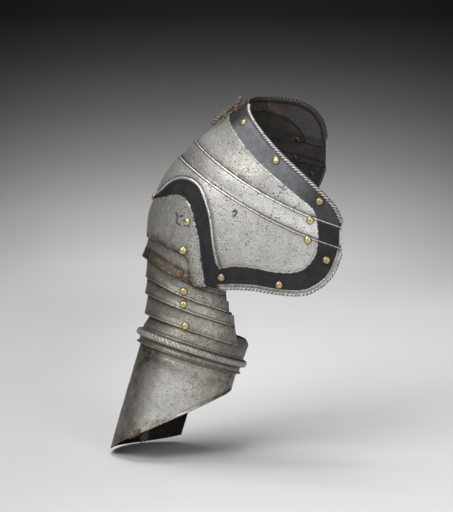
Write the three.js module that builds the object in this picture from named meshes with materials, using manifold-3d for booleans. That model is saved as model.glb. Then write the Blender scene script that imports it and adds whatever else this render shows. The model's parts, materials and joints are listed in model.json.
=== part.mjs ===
// A steel pauldron for the right shoulder, with the upper cannon of its arm.
// Millimetres, +Z up, +X towards the neck, -Y towards the front. The origin lies at the lace holes
// on the ridge, near the neck.
import * as THREE from 'three';
import { mergeVertices } from 'three/addons/utils/BufferGeometryUtils.js';
import Module from 'manifold-3d';

const wasm = await Module();
wasm.setup();

// Plate stock and fits
const plate_thickness = 1.5;
const plate_gap = 0.6;
const seat_gap = 0.3;
const cut_overrun = 4;

// Shoulder cap: the ridge falls from the neck point to the side of the arm
const neck_reach = 10.2;
const neck_rise = 6;
const ridge_run = 122.2;
const ridge_fall = 157;
const ridge_points_shares = [
  [0, 0], [0.133, 0.045], [0.329, 0.159], [0.509, 0.255], [0.664, 0.369],
  [0.82, 0.522], [0.918, 0.688], [0.983, 0.828], [1, 1], [0.992, 1.17],
];
const ridge_length_share = 1.125;
const section_slope = THREE.MathUtils.degToRad(17.5);
const wing_reach = 111.5;
const neck_half_width = 112;
const arm_half_width = 110;
const wing_dip = 42;
const wing_shift = 3;
// How far the section at the arm stands off the front of the first lame
const section_ease = 10;
const neck_power_share = 2.25;
const spacing_power_share = -0.35;
const power_limit_shares = [1, 6];
const dip_power_shares = [1.7, 1.3];

// Edges of the cap plates, as shares of the ridge (0 at the neck point, 1 at the arm) over the
// share of the half section from the ridge (0) to the end of the wing (1)
const upper_edge_share = 0.38;
const main_edge_share = 0.505;
const lame_overlap_share = 0.072;
const hidden_width_share = 0.84;
const lame_overlap_shares = [[0, 1], [0.7, 0.9], [0.8, 0.5], [1, 0.4]];
const neck_front_edge_shares = [
  [0, 0], [0.08, 0.024], [0.16, 0.04], [0.25, 0.058], [0.34, 0.085], [0.43, 0.118], [0.54, 0.15],
  [0.65, 0.185], [0.74, 0.217], [0.82, 0.25], [0.88, 0.285], [0.925, 0.325], [1, 0.36],
];
const neck_back_edge_shares = [
  [0, 0], [0.08, 0.022], [0.15, 0.052], [0.22, 0.09], [0.31, 0.123], [0.4, 0.142], [0.51, 0.15],
  [0.62, 0.153], [0.706, 0.165], [0.788, 0.186], [0.884, 0.228], [0.95, 0.285], [1, 0.36],
];
const arm_edge_shares = [[0, 0.998], [0.1, 0.993], [0.185, 0.983], [0.24, 0.974], [0.272, 0.965]];
const back_arm_edge_shares = [
  [0, 0.998], [0.1, 0.995], [0.15, 0.998], [0.19, 1.01], [0.225, 1.04], [0.25, 1.09], [0.292, 1.105],
];
const wing_edge_shares = [
  [0.278, 1.105], [0.292, 1.12], [0.31, 1.1], [0.335, 1.07], [0.363, 1.05], [0.392, 1.018],
  [0.438, 0.965], [0.496, 0.914], [0.583, 0.864], [0.647, 0.825], [0.701, 0.785], [0.741, 0.745],
  [0.794, 0.7], [0.844, 0.655], [0.883, 0.613], [0.919, 0.572], [0.965, 0.54], [1, 0.525],
];
const arch_shares = [
  [0.045, 0.725], [0.085, 0.69], [0.12, 0.62], [0.16, 0.573], [0.215, 0.55], [0.257, 0.557],
  [0.299, 0.598], [0.335, 0.66], [0.36, 0.768], [0.383, 0.895],
];
const bead_radius = 2.3;
const arch_radius = 1.9;

// Arm part: rings seen edge-on, leaning towards the body
const arm_slope = THREE.MathUtils.degToRad(18);
const arm_lean = THREE.MathUtils.degToRad(6.5);
const arm_radius = 60.6;
const lame_side_inset = 1.4;
const lame_overlap = 13;
// Each lame in turn: how far its upper edge stands off the arm's radius at the side, the front and
// the body, and how far it flares below besides the plate that it goes over
const lame_side_offsets = [-3, 0.2, -0.6, -1];
const lame_side_flares = [8.3, 0.9, 2.7, 3.6];
const lame_front_offsets = [-0.6, -0.2, -0.6, -1.1];
const lame_front_flares = [2.3, 1.9, 2.3, 2.8];
const lame_inner_offsets = [0.9, 0.3, -0.4, -0.6];
const lame_inner_flares = [0.5, 1.1, 1.8, 4.5];
const flare_power_share = 1.6;
const corner_ease = 0.05;
const lame_corner_steps = [0, 0.7, 1.4, 2.2];
const corner_fade_share = 0.25;
// Steps of the lower edges down from the ridge's end, the first lame's height, the rise of the
// side, half spans in degrees
const first_lame_drop = 58.5;
const first_lame_height = 43;
const second_lame_step = 18.5;
const third_lame_step = 15;
const fourth_lame_step = 21.5;
const lame_side_rise = 14.5;
const rise_power_share = 1.5;
const lower_rise_shares = [1, 0.64, 0.3, 0.08];
const upper_rise_shares = [0.7, 1, 0.64, 0.3];
const lame_spans = [120, 127, 132, 142];

// Turner and upper cannon, on one axis
const cannon_axis_shift = 9;
const cannon_axis_forward = 4.2;
const cannon_axis_drop = 145;
const cannon_thickness = 1.4;
const cannon_lip = 4.6;
const cannon_lip_height = 12.8;
const cannon_bend = THREE.MathUtils.degToRad(2);
const cannon_side_length = 133;
const cannon_front_length = 71.5;
const cannon_inner_length = 20.5;
const cannon_corner_length = 98;
const cannon_tip_drop = 8.5;
const cannon_tip_power_share = 12;
const cannon_step_angle = THREE.MathUtils.degToRad(109);
const cannon_step_length = 58;
const turner_running_gap = 0.7;
const turner_height = 42;
const turner_flange = 4.3;
const turner_rib_height = 12.5;
const turner_rib_reach = 7.3;
const turner_rib_width = 6.5;
const rib_crown = 0.8;
const turner_waist_height = 35;
const turner_waist_draw = 3.2;
const turner_top_draw = 5.6;
const turner_waist_bulge = 5;
const turner_top_bulge = 2;
const bulge_power_share = 6;

// Rivets
const head_radius = 4.6;
const head_height = 2.9;
const shank_radius = 1.7;
const tail_radius = 3.3;
const tail_height = 1.3;
const shank_clearance = 0.35;
const tail_face_share = 0.7;
const head_shares = [[0.93, 0.4], [0.62, 0.82], [0, 1]];
const seat_reach = 14;
// Places on the cap: share of the ridge, share of the half section
const neck_rivet_shares = [[0.12, 0.156], [0.165, 0.43], [0.263, 0.723]];
const neck_back_shift_share = 0.045;
const wing_rivet_shares = [[0.585, 0.802], [0.807, 0.583], [0.953, 0.392]];
const pivot_q_share = 0.689;
const upper_pivot_share = 0.407;
const main_pivot_share = 0.524;
const strap_rivet_share = 0.753;
const arch_rivet_q_share = 0.26;
// Pivots of the arm plates: how far their axis lies outside the lames' and below the ridge's end
const arm_pivots = [
  ['main_lame_pivot', 13.6, 16.6], ['lame_pivot_1', 17.9, 43.4], ['lame_pivot_2', 13.1, 64.5],
  ['lame_pivot_3', 13.4, 79.7], ['turner_pivot', 11.6, 105.3],
];

// Pivots: the cap turns at its back pivots, and its front pivots slide in slots
const cap_turn = THREE.MathUtils.degToRad(3);
const slide_gap = 0.7;
const slot_reach_share = 1.15;

// Lace: one thong, out of one lace hole, round two loops and into the other
const lace_radius = 1.4;
const lace_points = [
  [-11, -3, -19], [-13.5, -3, -13.5], [-16, -3.5, -8], [-19.2, -4, -4.2], [-23.5, -4.4, -6.4],
  [-27.5, -4.4, -10.4], [-31, -2.8, -13.9], [-32, 0.2, -14.9], [-30.6, 3.2, -13.6],
  [-27, 4.6, -10], [-20, 4.3, -4], [-12, 3.6, 2], [-4.5, 3.2, 7.5], [-0.4, 2.2, 12.4],
  [0.6, -1, 14.4], [-0.9, -4.3, 12.2], [-3.5, -4.8, 6.8], [-4.6, -3.7, 1.2], [-3.2, -3, -3.5],
  [-1, -3, -8.5], [1, -3, -13],
];

// Leather remnant at the cannon's lower edge
const remnant_thickness = 2;
const remnant_width = 13;
const remnant_gap = 1;
const remnant_lap = 9;
const remnant_angle = THREE.MathUtils.degToRad(51);

// Mesh fineness
const cap_columns = 34;
const plate_rows = 5;
const main_rows = 8;
const ring_columns = 44;
const bead_sides = 6;
const bead_steps = 44;
const lace_steps = 48;
const lace_sides = 6;
const arch_steps = 20;
const rivet_sides = 8;
const remnant_columns = 4;
const fit_rounds = 30;

const steel = { color: 0x8f8e88, roughness: 0.35, metalness: 0.95 };
const brass = { color: 0xb59a5a, roughness: 0.35, metalness: 0.95 };
const leather = { color: 0x5b3f2c, roughness: 0.85, metalness: 0 };

// Curves and interpolation
function between(table, x) {
  let k = 0;
  while (k < table.length - 2 && x > table[k + 1][0]) k += 1;
  const [x0, y0] = table[k];
  const [x1, y1] = table[k + 1];
  return y0 + (y1 - y0) * (x - x0) / (x1 - x0);
}

const ridge_curve_points = ridge_points_shares.map(
  ([run, fall]) => new THREE.Vector2(neck_reach - ridge_run * run, neck_rise - ridge_fall * fall));

function ridgePoint(share) {
  const last = ridge_curve_points.length - 1;
  const place = Math.max(share / ridge_length_share, 0) * last;
  const beyond = (end, before) => end.clone().add(end).sub(before);
  const k = Math.min(Math.floor(place), last - 1);
  const f = place - k;
  const at = (i) => {
    if (i < 0) return beyond(ridge_curve_points[0], ridge_curve_points[1]);
    if (i > last) return beyond(ridge_curve_points[last], ridge_curve_points[last - 1]);
    return ridge_curve_points[i];
  };
  const spline = (a, b, c, d) => 0.5 * (2 * b + (c - a) * f + (2 * a - 5 * b + 4 * c - d) * f * f
    + (3 * b - a - 3 * c + d) * f ** 3);
  const [a, b, c, d] = [at(k - 1), at(k), at(k + 1), at(k + 2)];
  return new THREE.Vector2(spline(a.x, b.x, c.x, d.x), spline(a.y, b.y, c.y, d.y));
}

// Where the arm begins, at the end of the ridge, and the radii of the plates round it
const arm_top = new THREE.Vector2(neck_reach - ridge_run, neck_rise - ridge_fall);
const cannon_radius = arm_radius;
const lame_side_radii = lame_side_offsets.map((offset) => arm_radius + offset);
const lame_front_radii = lame_front_offsets.map((offset) => arm_radius + offset);
const lame_inner_radii = lame_inner_offsets.map((offset) => arm_radius + offset);
const lame_axis_x = arm_top.x + lame_side_radii[0] + lame_side_inset;

// The power of the section at the arm, with which it passes the first lame's front
function armPower() {
  const reach = wing_reach - arm_top.x;
  const out = (lame_front_radii[0] + plate_thickness + section_ease) / arm_half_width;
  const left = 1 - (lame_axis_x - arm_top.x) / reach;
  let [low, high] = power_limit_shares;
  for (let k = 0; k < fit_rounds; k += 1) {
    const middle = (low + high) / 2;
    if (out ** middle + left ** middle > 1) low = middle;
    else high = middle;
  }
  return low;
}

const arm_power = armPower();

// How wide the section is where a share of its reach is left, as a share of its half width
function sectionWidth(left, power) {
  return Math.max(1 - left ** power, 0) ** (1 / power);
}

// How far the first lame's corner is drawn in to pass under the cap, halfway from side to front
function cornerDraw() {
  const half_way = Math.SQRT1_2 * lame_front_radii[0];
  const left = 1 - (lame_axis_x - half_way - arm_top.x) / (wing_reach - arm_top.x);
  const short = half_way - arm_half_width * sectionWidth(left, arm_power);
  return Math.max(Math.SQRT1_2 * short + plate_thickness + plate_gap + corner_ease, 0);
}

// A point of the cap's outer surface: ridge share, and place q across it from front (-1) to back (1)
function capPoint(share, q) {
  const ridge = ridgePoint(share);
  const reach = (wing_reach - ridge.x) / Math.cos(section_slope);
  const half_width = neck_half_width + (arm_half_width - neck_half_width) * share;
  const spacing = neck_power_share + spacing_power_share * share ** 2;
  const dip_power = dip_power_shares[0] + dip_power_shares[1] * share ** 2;
  const angle = Math.sin(Math.abs(q) * Math.PI / 2) * Math.PI / 2;
  const left = Math.max(Math.cos(angle), 0) ** (2 / spacing);
  const power = neck_power_share + (arm_power - neck_power_share) * share ** 2;
  const out = sectionWidth(left, power);
  const along = reach * (1 - left);
  const side = Math.sign(q);
  const dip = side * sectionWidth(left, spacing) ** dip_power;
  return new THREE.Vector3(
    ridge.x + along * Math.cos(section_slope) - wing_shift * dip,
    side * half_width * out,
    ridge.y - along * Math.sin(section_slope) + wing_dip * dip);
}

const cap_centre = new THREE.Vector3(wing_reach / 2, 0, -ridge_fall);

function capNormal(share, q) {
  const step = 0.01;
  const q_low = Math.max(q - step, -1 + step / 2);
  const q_high = Math.min(q + step, 1 - step / 2);
  const across = capPoint(share, q_high).sub(capPoint(share, q_low));
  const down = capPoint(share + step, q).sub(capPoint(share - step, q));
  const normal = across.cross(down).normalize();
  const outward = capPoint(share, q).sub(cap_centre);
  return normal.dot(outward) < 0 ? normal.negate() : normal;
}

function capOffset(share, q, distance) {
  return capPoint(share, q).addScaledVector(capNormal(share, q), distance);
}

// Arm frame: e1 from the side of the arm to the body, e2 to the back, e3 up the arm
const e1 = new THREE.Vector3(Math.cos(arm_slope), 0, -Math.sin(arm_slope));
const e2 = new THREE.Vector3(0, Math.cos(arm_lean), -Math.sin(arm_lean));
const e3 = e1.clone().cross(e2).normalize();
const ring_back = e3.clone().cross(e1);
const cannon_centre = new THREE.Vector3(lame_axis_x - cannon_axis_shift, -cannon_axis_forward,
  arm_top.y - cannon_axis_drop);

function ringPoint(centre, angle, side_radius, front_radius) {
  return centre.clone()
    .addScaledVector(e1, -side_radius * Math.cos(angle))
    .addScaledVector(ring_back, -front_radius * Math.sin(angle));
}

// Solids
function toSolid(geometry) {
  const bare = geometry.clone();
  bare.deleteAttribute('normal');
  bare.deleteAttribute('uv');
  const merged = mergeVertices(bare, 1e-4);
  const points = merged.attributes.position.array;
  const faces = merged.index.array;
  return new wasm.Manifold(new wasm.Mesh({
    numProp: 3,
    vertProperties: new Float32Array(points),
    triVerts: new Uint32Array(faces),
  }));
}

function signedVolume(points, faces) {
  let volume = 0;
  const corner = (k) => new THREE.Vector3(...points[faces[k]]);
  for (let k = 0; k < faces.length; k += 3) {
    volume += corner(k).dot(corner(k + 1).cross(corner(k + 2)));
  }
  return volume;
}

// A shell between two grids of points, open or closed round its columns
function shell(outer, inner, closed = false) {
  const rows = outer.length;
  const columns = outer[0].length;
  const points = [...outer.flat(), ...inner.flat()].map((p) => p.toArray());
  const faces = [];
  const o = (i, j) => i * columns + (j % columns);
  const n = (i, j) => rows * columns + o(i, j);
  const quad = (a, b, c, d) => faces.push(a, b, c, a, c, d);
  const spans = closed ? columns : columns - 1;
  for (let j = 0; j < spans; j += 1) {
    for (let i = 0; i < rows - 1; i += 1) {
      quad(o(i, j), o(i, j + 1), o(i + 1, j + 1), o(i + 1, j));
      quad(n(i, j), n(i + 1, j), n(i + 1, j + 1), n(i, j + 1));
    }
    quad(o(0, j), n(0, j), n(0, j + 1), o(0, j + 1));
    quad(o(rows - 1, j), o(rows - 1, j + 1), n(rows - 1, j + 1), n(rows - 1, j));
  }
  if (!closed) {
    for (let i = 0; i < rows - 1; i += 1) {
      quad(o(i, 0), o(i + 1, 0), n(i + 1, 0), n(i, 0));
      quad(o(i, columns - 1), n(i, columns - 1), n(i + 1, columns - 1), o(i + 1, columns - 1));
    }
  }
  if (signedVolume(points, faces) < 0) faces.reverse();
  const geometry = new THREE.BufferGeometry();
  geometry.setAttribute('position', new THREE.Float32BufferAttribute(points.flat(), 3));
  geometry.setIndex(faces);
  return toSolid(geometry);
}

function tube(points, radius, steps, sides = bead_sides) {
  const section = new THREE.Shape();
  for (let k = 0; k < sides; k += 1) {
    const angle = 2 * Math.PI * k / sides;
    const place = [radius * Math.cos(angle), radius * Math.sin(angle)];
    if (k === 0) section.moveTo(...place);
    else section.lineTo(...place);
  }
  section.closePath();
  const path = new THREE.CatmullRomCurve3(points);
  const geometry = new THREE.ExtrudeGeometry(section, { steps, extrudePath: path });
  return toSolid(geometry);
}

function turnTo(geometry, place, direction) {
  const turn = new THREE.Quaternion().setFromUnitVectors(new THREE.Vector3(0, 0, 1), direction);
  return geometry.applyQuaternion(turn).translate(place.x, place.y, place.z);
}

function pin(place, direction, radius, reach) {
  const geometry = new THREE.CylinderGeometry(radius, radius, 2 * reach, rivet_sides);
  return toSolid(turnTo(geometry.rotateX(Math.PI / 2), place, direction));
}

const group = new THREE.Group();
group.name = 'pauldron';

function add(name, solid, look) {
  const data = solid.getMesh();
  const geometry = new THREE.BufferGeometry();
  geometry.setAttribute('position', new THREE.BufferAttribute(data.vertProperties, 3));
  geometry.setIndex(new THREE.BufferAttribute(data.triVerts, 1));
  geometry.computeVertexNormals();
  const mesh = new THREE.Mesh(geometry, new THREE.MeshStandardMaterial(look));
  mesh.name = name;
  group.add(mesh);
}

// Cap plates. The part of a plate that lies under the next one dips below it.
const ramp_start_share = 0.052;
const ramp_end_share = 0.02;
const row_step_share = 0.004;

function dipBelow(share, edge_share) {
  const ramp = (share - edge_share + ramp_start_share) / (ramp_start_share - ramp_end_share);
  const f = THREE.MathUtils.clamp(ramp, 0, 1);
  return -(plate_thickness + plate_gap) * f * f * (3 - 2 * f);
}

// The width of a hidden part, drawn in from the plate's full width
function hiddenWidth(share, edge_share) {
  const start = edge_share - ramp_end_share;
  const f = THREE.MathUtils.clamp((share - start) / (lame_overlap_share + ramp_end_share), 0, 1);
  return 1 - (1 - hidden_width_share) * f;
}

// A plate between its top and bottom edges. rowShares gives the ridge share of each row.
function capPlate(columns, rowShares, depth, width) {
  const outer = [];
  const inner = [];
  const table = columns.map(rowShares);
  for (let i = 0; i < table[0].length; i += 1) {
    outer.push(columns.map((column, j) => {
      const share = table[j][i];
      return capOffset(share, column * width(share), depth(share));
    }));
    inner.push(columns.map((column, j) => {
      const share = table[j][i];
      return capOffset(share, column * width(share), depth(share) - plate_thickness);
    }));
  }
  return shell(outer, inner);
}

const even_columns = Array.from({ length: cap_columns + 1 }, (_, k) => 2 * k / cap_columns - 1);

function lameRows(top, edge_share, q) {
  const overlap = lame_overlap_share * between(lame_overlap_shares, Math.abs(q));
  const start = edge_share - ramp_start_share;
  const end = edge_share - ramp_end_share;
  const rows = [top, (top + start) / 2, start, (start + end) / 2, end, edge_share,
    edge_share + overlap];
  for (let k = 1; k < rows.length; k += 1) rows[k] = Math.max(rows[k], rows[k - 1] + row_step_share);
  return rows;
}

function neckEdge(q) {
  return between(q < 0 ? neck_front_edge_shares : neck_back_edge_shares, Math.abs(q));
}

function mainEdge(place) {
  const q = Math.abs(place);
  if (place > 0 && q < back_arm_edge_shares.at(-1)[0]) return between(back_arm_edge_shares, q);
  return q < wing_edge_shares[0][0] ? between(arm_edge_shares, q) : between(wing_edge_shares, q);
}

function neckBead() {
  const places = Array.from({ length: bead_steps + 1 }, (_, k) => 2 * k / bead_steps - 1);
  return tube(places.map((q) => capOffset(neckEdge(q), q, -plate_thickness / 2)), bead_radius,
    bead_steps);
}

function wingBead(side) {
  const start = wing_edge_shares[1][0];
  const steps = bead_steps / 2;
  const places = Array.from({ length: steps + 1 }, (_, k) => start + (1 - start) * k / steps);
  return tube(places.map((q) => capOffset(mainEdge(q), side * q, -plate_thickness / 2)),
    bead_radius, steps);
}

function archBead(side) {
  return tube(arch_shares.map(([q, share]) => capOffset(share, side * q, 0)), arch_radius,
    arch_steps);
}

const front = -1;
const back = 1;
const sides = [['front', front], ['back', back]];

const neck_lame = capPlate(even_columns, (q) => lameRows(neckEdge(q), upper_edge_share, q),
  (share) => dipBelow(share, upper_edge_share),
  (share) => hiddenWidth(share, upper_edge_share)).add(neckBead());

const upper_lame = capPlate(even_columns, (q) => lameRows(upper_edge_share, main_edge_share, q),
  (share) => dipBelow(share, main_edge_share), (share) => hiddenWidth(share, main_edge_share));

const step_places = [arm_edge_shares.at(-1)[0], wing_edge_shares[0][0]];
const column_clearance = 0.6 / cap_columns;
const plain_columns = even_columns.filter((q) => step_places.every(
  (place) => Math.abs(Math.abs(q) - place) > column_clearance));
const main_columns = [...plain_columns, ...step_places, ...step_places.map((place) => -place)]
  .sort((a, b) => a - b);

function mainRows(q) {
  const bottom = mainEdge(q);
  return Array.from({ length: main_rows + 1 },
    (_, i) => main_edge_share + (bottom - main_edge_share) * i / main_rows);
}

let main_plate = capPlate(main_columns, mainRows, () => 0, () => 1);
for (const [, side] of sides) main_plate = main_plate.add(wingBead(side)).add(archBead(side));

// Lower lames: C-shaped plates round the arm, each over the next
const lame_levels = [arm_top.y - first_lame_drop];
for (const step of [second_lame_step, third_lame_step, fourth_lame_step]) {
  lame_levels.push(lame_levels.at(-1) - step);
}

function lameHeight(index) {
  if (index === 0) return first_lame_height;
  return lame_levels[index - 1] - lame_levels[index] + lame_overlap;
}

const corner_draw = cornerDraw();
const nest = plate_thickness + plate_gap;

function armLame(index) {
  const span = THREE.MathUtils.degToRad(lame_spans[index]);
  const columns = Math.round(ring_columns * span / Math.PI);
  const height = lameHeight(index);
  const place = (i, j, sink) => {
    const angle = span * (2 * j / columns - 1);
    const up = i / (plate_rows - 1);
    const rise_share = lower_rise_shares[index] * (1 - up) + upper_rise_shares[index] * up;
    const rise = lame_side_rise * rise_share * Math.max(Math.cos(angle), 0) ** rise_power_share;
    const centre = new THREE.Vector3(lame_axis_x, 0, lame_levels[index] + height * up + rise);
    const flare = (1 - up) ** flare_power_share;
    const corner = Math.cos(angle) < 0 ? 0 : Math.sin(2 * angle) ** 2;
    const fade = Math.min(up / corner_fade_share, 1);
    const draw = Math.max(corner_draw - lame_corner_steps[index], 0);
    const deep = sink + draw * corner * fade;
    const radius = (radii, flares) => radii[index] + (flares[index] + nest) * flare;
    const front_radius = radius(lame_front_radii, lame_front_flares) - deep;
    const side_radius = Math.cos(angle) < 0
      ? radius(lame_inner_radii, lame_inner_flares) - sink
      : radius(lame_side_radii, lame_side_flares) - deep;
    return ringPoint(centre, angle, side_radius, front_radius);
  };
  const grid = (sink) => Array.from({ length: plate_rows },
    (_, i) => Array.from({ length: columns + 1 }, (__, j) => place(i, j, sink)));
  return shell(grid(0), grid(plate_thickness));
}

const lames = lame_spans.map((_, index) => armLame(index));

// Turner: a ring with a hollow roped rib, drawn in where it passes under the last lame
function turnerRing() {
  const bore = cannon_radius + turner_running_gap;
  const rib = bore + turner_rib_reach;
  const low = turner_rib_height - turner_rib_width / 2;
  const high = turner_rib_height + turner_rib_width / 2;
  const wall = bore + plate_thickness;
  const profile = [
    [bore + turner_flange, 0, 0], [bore + turner_flange - plate_thickness, plate_thickness, 0],
    [wall, low - plate_thickness, 0], [rib, low, 0], [rib + rib_crown, turner_rib_height, 0],
    [rib, high, 0], [wall, high + plate_thickness, 0],
    [wall - turner_waist_draw, turner_waist_height, turner_waist_bulge],
    [wall - turner_top_draw, turner_height, turner_top_bulge],
  ];
  const place = (radius, bulge, up, angle) => {
    const centre = cannon_centre.clone().addScaledVector(e3, up);
    const inward = Math.max(-Math.cos(angle), 0) ** bulge_power_share;
    const reach = radius + bulge * inward;
    return ringPoint(centre, angle, reach, reach);
  };
  const grid = (sink) => profile.map(([radius, up, bulge]) => Array.from(
    { length: ring_columns },
    (_, j) => place(radius - sink, bulge, up, 2 * Math.PI * j / ring_columns)));
  return shell(grid(0), grid(plate_thickness), true);
}

const turner = turnerRing();

// Upper cannon: a tube with a lip in the turner's rib and an oblique lower edge
function cannonLength(angle) {
  const side = Math.cos(angle);
  if (Math.sin(angle) >= 0) {
    const tip = cannon_tip_drop * Math.max(side, 0) ** cannon_tip_power_share;
    const reach = side < 0 ? cannon_inner_length : cannon_side_length - cannon_tip_drop;
    return cannon_front_length + (reach - cannon_front_length) * Math.abs(side) + tip;
  }
  const turn = 2 * Math.PI - angle;
  if (turn <= cannon_step_angle) {
    const drop = cannon_side_length - cannon_corner_length;
    return cannon_side_length - drop * (turn / cannon_step_angle) ** 2;
  }
  const share = (turn - cannon_step_angle) / (Math.PI - cannon_step_angle);
  return cannon_step_length + (cannon_inner_length - cannon_step_length) * share;
}

function cannonPoint(radius, height, angle) {
  const bend = Math.max(-height, 0) * Math.tan(cannon_bend);
  const centre = cannon_centre.clone().addScaledVector(e3, height).addScaledVector(e1, bend);
  return ringPoint(centre, angle, radius, radius);
}

const cannon_level_shares = [0, 0.12, 0.35, 0.6, 0.82, 1];

function upperCannon() {
  const bore = cannon_radius - cannon_thickness;
  const outer = [];
  const inner = [];
  const row = (radius, height) => Array.from({ length: ring_columns }, (_, j) => {
    const angle = 2 * Math.PI * j / ring_columns;
    return cannonPoint(radius, height(angle), angle);
  });
  const rings = [
    [cannon_radius + cannon_lip, cannon_lip_height + cannon_thickness],
    [cannon_radius + cannon_lip, cannon_lip_height],
    [cannon_radius, cannon_lip_height - cannon_thickness / 2],
  ];
  for (const [radius, height] of rings) {
    outer.push(row(radius, () => height));
    inner.push(row(bore, () => height));
  }
  for (const level of cannon_level_shares) {
    outer.push(row(cannon_radius, (angle) => -cannonLength(angle) * level));
    inner.push(row(bore, (angle) => -cannonLength(angle) * level));
  }
  return shell(outer, inner, true);
}

const upper_cannon = upperCannon();

// The strap end that is left in the cannon: it laps the edge outside and hangs down inside
function leatherRemnant() {
  const span = remnant_width / cannon_radius;
  const columns = remnant_columns;
  const gap = remnant_gap + remnant_thickness / 2;
  const bore = cannon_radius - cannon_thickness - gap;
  const line = [
    [cannon_radius + gap, remnant_lap], [cannon_radius + gap, 0],
    [cannon_radius - cannon_thickness / 2, -gap], [bore, 0], [bore, remnant_lap],
  ];
  const place = (radius, above, j) => {
    const angle = remnant_angle + span * (j / columns - 1 / 2);
    return cannonPoint(radius, above - cannonLength(angle), angle);
  };
  const half = remnant_thickness / 2;
  const shifts = [[half, 0], [half, -half], [0, -half], [-half, -half], [-half, 0]];
  const grid = (sign) => line.map(([radius, above], i) => Array.from({ length: columns + 1 },
    (_, j) => place(radius + sign * shifts[i][0], above + sign * shifts[i][1], j)));
  return shell(grid(1), grid(-1));
}

// Rivets. Each is seated on the plates that it holds, so its head and tail take their places from
// the solids, along its own direction.
const rivets = [];

function reachAlong(solid, place, direction, radius) {
  const met = pin(place, direction, radius, seat_reach)
    .intersect(solid).getMesh().vertProperties;
  let low = Infinity;
  let high = -Infinity;
  for (let k = 0; k < met.length; k += 3) {
    const along = new THREE.Vector3(met[k], met[k + 1], met[k + 2]).sub(place).dot(direction);
    low = Math.min(low, along);
    high = Math.max(high, along);
  }
  return [low, high];
}

function rivet(name, place, direction, plates, slot = null) {
  const [, high] = reachAlong(plates[0], place, direction, head_radius);
  const [low] = reachAlong(plates.at(-1), place, direction, tail_radius);
  const tail_gap = slot ? slide_gap : seat_gap;
  rivets.push({ name, place, direction, high: high + seat_gap, low: low - tail_gap, slot });
}

function rivetSolid({ place, direction, high, low }) {
  const outline = [
    [0, low - tail_height], [tail_radius * tail_face_share, low - tail_height],
    [tail_radius, low], [shank_radius, low], [shank_radius, high], [head_radius, high],
    ...head_shares.map(([out, up]) => [head_radius * out, high + head_height * up]),
  ].map(([x, y]) => new THREE.Vector2(x, y));
  const turned = new THREE.LatheGeometry(outline, rivet_sides).rotateX(Math.PI / 2);
  return toSolid(turnTo(turned, place, direction));
}

function capRivet(name, share, q, plates) {
  rivet(name, capPoint(share, q), capNormal(share, q), plates);
}

for (const [side_name, side] of sides) {
  neck_rivet_shares.forEach(([share, q], k) => {
    const place = side === back ? share + neck_back_shift_share : share;
    capRivet(`neck_rivet_${side_name}_${k + 1}`, place, side * q, [neck_lame]);
  });
  wing_rivet_shares.forEach(([share, q], k) => {
    capRivet(`wing_rivet_${side_name}_${k + 1}`, share, side * q, [main_plate]);
  });
  const outward = new THREE.Vector3(0, side, 0);
  const slot = side === front;
  rivet(`upper_pivot_${side_name}`, capPoint(upper_pivot_share, side * pivot_q_share), outward,
    [upper_lame, neck_lame], slot ? upper_pivot_share : null);
  rivet(`main_pivot_${side_name}`, capPoint(main_pivot_share, side * pivot_q_share), outward,
    [main_plate, upper_lame], slot ? main_pivot_share : null);
  capRivet(`arch_rivet_${side_name}`, strap_rivet_share, side * arch_rivet_q_share, [main_plate]);
}
capRivet('strap_rivet_side', strap_rivet_share, 0, [main_plate]);

// Pivots of the lower lames, along the arm's front to back axis
const arm_stack = [main_plate, ...lames, turner];
arm_pivots.forEach(([name, inset, drop], index) => {
  const k = Math.min(index, lames.length - 1);
  for (const [side_name, side] of sides) {
    const place = new THREE.Vector3(lame_axis_x - inset, 0, arm_top.y - drop)
      .addScaledVector(e2, side * lame_front_radii[k]);
    rivet(`${name}_${side_name}`, place, e2.clone().multiplyScalar(side),
      [arm_stack[index], arm_stack[index + 1]]);
  }
});

// Holes for the shanks, and slots where a front pivot slides as the plate outside it turns
function holeAt({ place, direction, high, low }) {
  return pin(place, direction, shank_radius + shank_clearance, high - low + cut_overrun);
}

function slotAt(one) {
  const centre = capPoint(one.slot, back * pivot_q_share);
  const arm = one.place.clone().sub(centre);
  arm.applyAxisAngle(new THREE.Vector3(0, 1, 0), cap_turn * slot_reach_share);
  const travel = centre.add(arm).sub(one.place).setY(0);
  const radius = shank_radius + shank_clearance;
  const reach = one.high - one.low + cut_overrun;
  const outline = new THREE.Shape()
    .absarc(0, 0, radius, Math.PI / 2, -Math.PI / 2)
    .absarc(travel.length(), 0, radius, -Math.PI / 2, Math.PI / 2);
  outline.closePath();
  const slot = new THREE.ExtrudeGeometry(outline,
    { depth: 2 * reach, curveSegments: rivet_sides / 2, bevelEnabled: false });
  return toSolid(slot.translate(0, 0, -reach).rotateX(Math.PI / 2)
    .rotateY(Math.atan2(-travel.z, travel.x)).translate(...one.place.toArray()));
}

// Cuts every shank's hole, and a slot for the rivet named slotted
function cutHoles(solid, slotted) {
  let cut = solid;
  for (const one of rivets) cut = cut.subtract(one.name === slotted ? slotAt(one) : holeAt(one));
  return cut;
}

const lace_route = lace_points.map((point) => new THREE.Vector3(...point));
const lace_holes = tube(lace_route, lace_radius + shank_clearance, lace_steps, lace_sides);

add('neck_lame', cutHoles(neck_lame, 'upper_pivot_front').subtract(lace_holes), steel);
add('upper_lame', cutHoles(upper_lame, 'main_pivot_front'), steel);
add('main_plate', cutHoles(main_plate), steel);
lames.forEach((lame, k) => add(`lower_lame_${k + 1}`, cutHoles(lame), steel));
add('turner', cutHoles(turner), steel);
add('upper_cannon', upper_cannon, steel);
for (const one of rivets) add(one.name, rivetSolid(one), brass);
add('lace', tube(lace_route, lace_radius, lace_steps, lace_sides), leather);
add('cannon_leather', leatherRemnant(), leather);

export default group;
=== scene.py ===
import json
import math

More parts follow.
